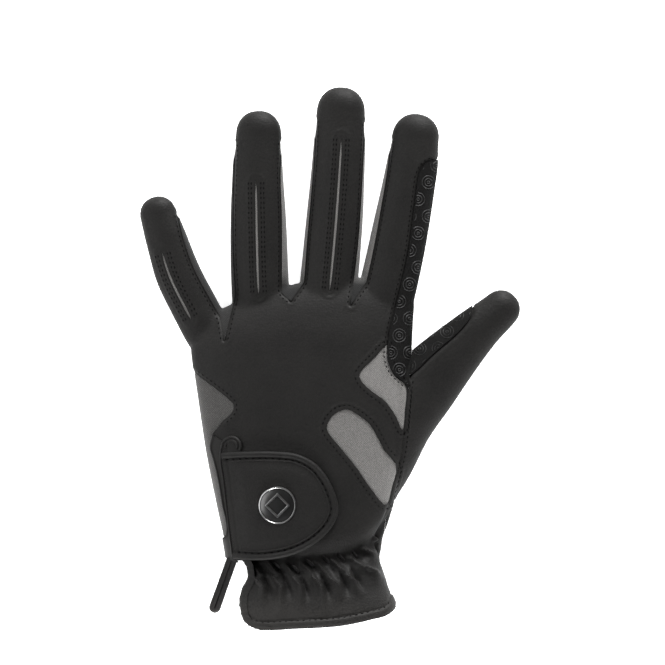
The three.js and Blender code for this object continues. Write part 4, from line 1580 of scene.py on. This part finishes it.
class Closure:
    """The wrist strap with its badge, the opening's binding and end piece, and the pull loop."""

    def __init__(self, shell: Shell) -> None:
        """Keep the shell that the closure lies on."""
        self.shell = shell
        self.body = shell.body

    def layer(self, name: str, outline: Points, low: float, high: float) -> bpy.types.Object:
        """Make a layer over the smooth body, from one height to another, inside an outline."""
        top = lifted(self.body, name + "_top", high)
        bottom = lifted(self.body, name + "_bottom", low)
        keep = [prism(name + "_plan", outline)] + self.shell.pick("back")
        made = carve(name, top, keep, [bottom])
        discard(top, bottom)
        return made

    def on_body(self, line: Points, height: float) -> Points:
        """Lift a line on the plan to a height above the smooth body."""
        return np.array([tuple(point + normal * height) for point, normal in drop_on(self.body.tree, line)])

    def build(self) -> None:
        """Make every piece of the closure."""
        self.strap()
        self.badge()
        self.facing()
        self.binding()
        self.loop()

    def strap(self) -> None:
        """Make the padded strap with its rolled edge."""
        base, thick = 0.3, SIZES.strap_thickness
        strap = self.layer("strap_body", PLAN.strap, base, base + thick)
        points = read_points(strap)
        d = distance_to(points, PLAN.strap_free, reach=30)
        heel = distance_to(points, PLAN.strap_heel, reach=30)
        up = ramp(read_normals(strap)[:, 2], 0.3, 0.7)
        pad = 0.6 * ramp(np.minimum(d, heel + 1), 4.2, 9) - 0.4 * bell(d - 3.0, 0.5) - 0.6 * bell(d, 0.7)
        points[:, 2] += up * (pad - 0.3 * bell(heel - 2.0, 0.6))
        write_points(strap, points)
        rolls = [
            swept("roll", self.on_body(beside(PLAN.strap_free, 1.3), base + thick - 0.8), 1.35, 14),
            swept("roll", self.on_body(beside(PLAN.strap_free, 3.9)[4:-4], base + thick - 0.2), 0.42, 8),
        ]
        tongue = self.layer("strap_tongue", PLAN.opening, -SIZES.leather, base + thick / 2)
        made = joined("strap_leather", [strap, tongue, *rolls])
        finish_piece(made, MATERIALS[Finish.STRAP], ["wrist_strap"])

    def badge(self) -> None:
        """Turn the badge's face and its metal rim."""
        point, _ = drop_on(self.body.tree, PLAN.badge[None])[0]
        base = point.z + 0.3 + SIZES.strap_thickness + 0.2
        r = SIZES.badge_radius
        rim = [
            (r - 0.75, 0.7), (r - 0.7, 1.2), (r - 0.5, 1.35), (r - 0.2, 1.25), (r, 0.9), (r, -1.2),
            (r - 0.75, -1.2), (r - 0.75, 0.7),
        ]
        face = [
            (0, 1.75), (r * 0.35, 1.7), (r * 0.62, 1.52), (r * 0.8, 1.22), (r - 0.9, 0.95),
            (r - 0.9, -1.1), (0, -1.1),
        ]
        for name, profile, finish, slot, node in (
            ("badge_rim_metal", rim, Finish.RIM, "badge_rim", "strap_badge_rim"),
            ("badge_face_black", face, Finish.FACE, "badge_face", "strap_badge"),
        ):
            bm = bmesh.new()
            verts = [bm.verts.new((radius, 0, height)) for radius, height in profile]
            edges = [bm.edges.new(pair) for pair in zip(verts, verts[1:])]
            bmesh.ops.spin(
                bm, geom=verts + edges, angle=2 * math.pi, steps=72, axis=(0, 0, 1), cent=(0, 0, 0)
            )
            bmesh.ops.remove_doubles(bm, verts=bm.verts, dist=1e-3)
            bmesh.ops.recalc_face_normals(bm, faces=bm.faces)
            tilt = Matrix.Translation((*PLAN.badge, base)) @ Matrix.Rotation(math.radians(-3.5), 4, "Y")
            bmesh.ops.transform(bm, matrix=tilt, verts=bm.verts)
            finish_piece(make_object(name, bm), MATERIALS[finish], [node], 30)

        self.emblem(base)

    def emblem(self, base: float) -> None:
        """Set a bevelled metal diamond on the badge's face.

        Args:
            base: Height of the badge's foot in millimetres.
        """
        bm = bmesh.new()
        bmesh.ops.create_circle(bm, cap_ends=True, radius=5.6, segments=4)
        inner = bmesh.ops.inset_individual(bm, faces=bm.faces[:], thickness=1.35)
        bmesh.ops.delete(bm, geom=[f for f in bm.faces if f not in inner["faces"]], context="FACES_ONLY")
        made = bmesh.ops.extrude_face_region(bm, geom=bm.faces[:])["geom"]
        top = [v for v in made if isinstance(v, bmesh.types.BMVert)]
        bmesh.ops.translate(bm, vec=(0, 0, 0.75), verts=top)
        bmesh.ops.bevel(
            bm, geom=bm.edges[:], offset=0.28, segments=2, profile=0.5, affect="EDGES", material=-1
        )
        bmesh.ops.recalc_face_normals(bm, faces=bm.faces)
        bmesh.ops.translate(bm, vec=(*PLAN.badge, base + 1.35), verts=bm.verts)
        finish_piece(make_object("badge_diamond", bm), MATERIALS[Finish.RIM], smooth_angle=30)

    def facing(self) -> None:
        """Make the end piece above the opening: two rolled arches over a small patch."""
        angles = np.linspace(0, 2 * math.pi, 48, endpoint=False)
        disc = PLAN.facing + SIZES.facing_radius * np.column_stack([np.cos(angles), np.sin(angles)])
        patch = self.layer("facing_body", disc, 0.1, 0.9)
        arch = np.radians(np.linspace(-25, 190, 40))
        rolls = []
        for radius in (SIZES.facing_radius - 0.4, SIZES.facing_radius - 1.9):
            line = PLAN.facing + radius * np.column_stack([np.cos(arch), np.sin(arch)])
            rolls.append(swept("arch", self.on_body(line, 0.85), 0.6, 8))
        made = joined("facing_leather", [patch, *rolls])
        finish_piece(made, MATERIALS[Finish.EDGE], ["slit_facing"])

    def binding(self) -> None:
        """Cut the bindings of the opening and of the cuff, with rolled edges."""
        shell = self.shell
        opening = carve(
            "opening_band",
            shell.bound,
            shell.pick("back") + [shell.inside("binding_in", PLAN.binding)],
            [shell.inner] + shell.pick("opening"),
        )
        outer = even(PLAN.binding_outer, 0.8)
        inner = PLAN.opening_edge
        rolls = [
            swept("roll", self.on_body(beside(outer, -0.7)[:-6], 0.35), 0.55, 8),
            swept("roll", self.on_body(beside(inner, 0.6)[2:-1], 0.35), 0.55, 8),
        ]
        made = joined("opening_binding_leather", [opening, *rolls])
        finish_piece(made, MATERIALS[Finish.EDGE], ["opening_binding"])
        cuff = carve(
            "cuff_binding_leather",
            shell.bound,
            shell.pick("cuff_band", "back", "hem"),
            [shell.inner] + shell.pick("opening", "open_cuff", "binding"),
        )
        points = read_points(cuff)
        d = distance_to(points, PLAN.cuff_edge)
        ripple = 0.5 + 0.5 * np.sin(points[:, 1] * 2 * math.pi / 2.5)
        points += read_normals(cuff) * (-0.45 * bell(d, 0.6) - 0.3 * ripple * ramp(d, 0.2, 1.2))[:, None]
        write_points(cuff, points)
        finish_piece(cuff, MATERIALS[Finish.EDGE], ["cuff_binding"])

    def loop(self) -> None:
        """Bend the pull loop's band round its end and stand it on its edge."""
        thick, wide = SIZES.loop_thickness, SIZES.loop_width
        reach = SIZES.loop_length - thick - 0.6
        bend = np.radians(np.linspace(0, 180, 13))
        middle = thick / 2 - 0.12
        swell = thick / 2
        leg = [(middle, at) for at in np.linspace(0, reach * 0.55, 8)]
        leg += [(middle + (swell - middle) * t, reach * (0.55 + 0.45 * t)) for t in np.linspace(0.2, 0.9, 4)]
        tip = [(swell * math.cos(a), reach + swell * math.sin(a)) for a in bend]
        path = np.array(leg + tip + [(-x, y) for x, y in reversed(leg)])
        way = np.gradient(path, axis=0)
        way /= np.linalg.norm(way, axis=1)[:, None]
        corner = np.radians(np.linspace(0, 360, 16, endpoint=False))
        low = drop_on(self.body.tree, PLAN.loop_start[None])
        base = low[0][0].z + 0.4 - wide / 2 if low else 0.6 * SIZES.hand_height
        base -= 0.9
        rings = []
        for (x, y), (wx, wy) in zip(path, way):
            across = np.sign(np.cos(corner)) * np.abs(np.cos(corner)) ** 0.45 * thick / 2
            up = np.sign(np.sin(corner)) * np.abs(np.sin(corner)) ** 0.35 * wide / 2
            plan_x, plan_y = x + wy * across, y - wx * across
            plan = PLAN.loop_start + np.outer(plan_x, PLAN.loop_side)
            plan = plan + np.outer(plan_y - 0.5, PLAN.loop_ahead)
            drop = math.tan(math.radians(SIZES.loop_droop)) * plan_y
            rings.append(np.column_stack([plan, base + up - drop]))
        bm = bmesh.new()
        tube_mesh(bm, rings)
        bmesh.ops.recalc_face_normals(bm, faces=bm.faces)
        made = make_object("pull_loop_leather", bm)
        finish_piece(made, MATERIALS[Finish.EDGE], ["pull_loop"])


def all_stitches(shell: Shell) -> None:
    """Lay every row of stitches on the back and the palm."""
    rows = Stitcher(shell.tree)
    for slit in SLITS.values():
        line = slit.middle()
        for offset in (-3.4, -2.1, 2.1, 3.4):
            rows.row(beside(line, offset))
    for web in WEBS.values():
        left, right = web.seams()
        rows.row(beside(left, -1.5))
        rows.row(beside(right, 1.5))
        rows.row(beside(left, -1.5), from_above=False)
        rows.row(beside(right, 1.5), from_above=False)
    for window in (PLAN.upper_window, PLAN.lower_window):
        rows.row(widen(window, 2.0))
    rows.row(beside(PLAN.patch_edge, 1.3))
    rows.row(beside(PLAN.thumb_line, -1.6))
    rows.row(beside(PLAN.side_edge, -1.4))
    rows.row(beside(PLAN.hem, -3.6), pitch=2.6)
    rows.row(beside(PLAN.hem, -3.6), from_above=False, pitch=2.6)
    rows.finish("panel_stitches")
    strap = Stitcher(tree_of(bpy.data.objects["strap_leather"]), length=1.55, radius=0.36)
    strap.row(beside(PLAN.strap_free, 3.0), pitch=2.9)
    strap.row(beside(PLAN.strap_heel, -1.6), pitch=2.9)
    strap.finish("strap_stitches")


def grip_print(shell: Shell) -> None:
    """Print a staggered pattern of rings with a dot on the grip patches."""
    mesh = bmesh.new()
    tree = tree_of(shell.grip)
    pitch, radius = 8.4, 2.9
    index, thumb = widen(PLAN.index_patch, -0.5), widen(PLAN.thumb_patch, -0.5)
    cover = widen(PLAN.index_patch, 0.5)
    for outline, allowed in (
        (index, lambda p: is_inside(p, index)),
        (thumb, lambda p: is_inside(p, thumb) & is_inside(p, PLAN.thumb) & ~is_inside(p, cover)),
    ):
        low, high = outline.min(axis=0), outline.max(axis=0)
        for j in range(round((high[1] - low[1]) / (pitch * 0.9)) + 1):
            for i in range(round((high[0] - low[0]) / pitch) + 1):
                spot = low + [pitch * (i + 0.45 * (j % 2)) + 1.2, 0.9 * pitch * j]
                for size in (radius, radius * 0.58, radius * 0.18):
                    ring_on(mesh, tree, spot, size, 0.2, allowed)
    finish_piece(make_object("grip_rings", mesh), MATERIALS[Finish.PRINT], smooth_angle=80)


def ring_on(
    mesh: bmesh.types.BMesh,
    tree: BVHTree,
    spot: Points,
    radius: float,
    tube: float,
    allowed: Callable[[Points], Points],
) -> None:
    """Lay one raised ring on a skin, or the part of it that lies on the patch.

    Args:
        mesh: The mesh to add to.
        tree: The skin.
        spot: The ring's middle on the plan.
        radius: The ring's radius.
        tube: Radius of its section.
        allowed: Tells which places on the plan may be printed.
    """
    angles = np.linspace(0, 2 * math.pi, 16, endpoint=False)
    line = spot + radius * np.column_stack([np.cos(angles), np.sin(angles)])
    fits = allowed(line)
    arc: list[Optional[list[bmesh.types.BMVert]]] = []
    for place, angle, fit in zip(line, angles, fits):
        hits = drop_on(tree, place[None]) if fit else []
        if not hits or hits[0][1].z < 0.12:
            arc.append(None)
            continue
        point, normal = hits[0]
        out = Vector((math.cos(angle), math.sin(angle), 0))
        out = (out - normal * out.dot(normal)).normalized()
        profile = (point + out * tube, point + normal * tube, point - out * tube)
        arc.append([mesh.verts.new(p) for p in profile])
    for one, two in zip(arc, arc[1:] + arc[:1]):
        if one and two:
            for a in range(2):
                mesh.faces.new((one[a], two[a], two[a + 1], one[a + 1]))


class Stage:
    """The pale floor, soft light and the camera."""

    view_width = 0.295
    middle = (0.0144, 0.0299)
    distance = 3.0

    def build(self) -> None:
        """Make the stage."""
        bpy.context.scene.view_settings.view_transform = "Standard"
        bm = bmesh.new()
        bmesh.ops.create_grid(bm, x_segments=8, y_segments=8, size=6000)
        bmesh.ops.translate(bm, vec=(0, 0, -0.05), verts=bm.verts)
        floor = make_object("floor", bm)
        floor.data.materials.append(MATERIALS[Finish.FLOOR])
        floor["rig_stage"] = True
        world = bpy.data.worlds.new("soft room")
        world.use_nodes = True
        nodes, links = world.node_tree.nodes, world.node_tree.links
        way = nodes.new("ShaderNodeSeparateXYZ")
        links.new(nodes.new("ShaderNodeTexCoord").outputs["Generated"], way.inputs["Vector"])
        shade = nodes.new("ShaderNodeValToRGB")
        shade.color_ramp.elements[0].position = 0.25
        shade.color_ramp.elements[0].color = (1, 0.99, 0.98, 1)
        shade.color_ramp.elements[1].position = 0.9
        shade.color_ramp.elements[1].color = (0.05, 0.05, 0.05, 1)
        links.new(way.outputs["Z"], shade.inputs["Fac"])
        background = nodes["Background"]
        links.new(shade.outputs["Color"], background.inputs["Color"])
        background.inputs["Strength"].default_value = 1.3
        bpy.context.scene.world = world
        self.lamp("key", (0.5, 1.9, 0.45), 0.85, 150)
        self.lamp("fill", (-1.1, 0.2, 0.95), 1.2, 28)
        self.lamp("front", (0.2, -1.8, 0.45), 0.85, 140)
        self.camera()

    def lamp(self, name: str, place: tuple[float, float, float], size: float, power: float) -> None:
        """Add a soft square lamp that faces the glove."""
        light = bpy.data.lights.new(name, "AREA")
        light.size = size
        light.energy = power
        made = bpy.data.objects.new(name, light)
        made.location = place
        made.rotation_euler = (Vector((0.01, 0.02, 0)) - Vector(place)).to_track_quat("-Z", "Y").to_euler()
        bpy.context.scene.collection.objects.link(made)

    def camera(self) -> None:
        """Look straight down from far away, with the photograph's frame."""
        data = bpy.data.cameras.new("camera")
        data.sensor_width = 36
        data.lens = data.sensor_width * self.distance / self.view_width
        data.clip_end = 20
        camera = bpy.data.objects.new("camera", data)
        camera.location = (*self.middle, self.distance + 0.015)
        bpy.context.scene.collection.objects.link(camera)
        bpy.context.scene.camera = camera


def main() -> None:
    """Build the glove, its stage and the camera."""
    logging.basicConfig(level=logging.INFO, format="%(relativeCreated)d ms %(message)s")
    Stage().build()
    body = Body()
    shell = Shell(body)
    log.info("skins made")
    shell.build()
    log.info("panels cut")
    Closure(shell).build()
    log.info("closure made")
    all_stitches(shell)
    grip_print(shell)
    log.info("stitches and print laid")
    discard(body.skin, shell.outer, shell.fabric, shell.wall, shell.grip, shell.bound, shell.inner)
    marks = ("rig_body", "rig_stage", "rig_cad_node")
    for obj in [o for o in bpy.data.objects if o.type == "MESH" and not any(mark in o for mark in marks)]:
        discard(obj)


if __name__ == "__main__":
    main()
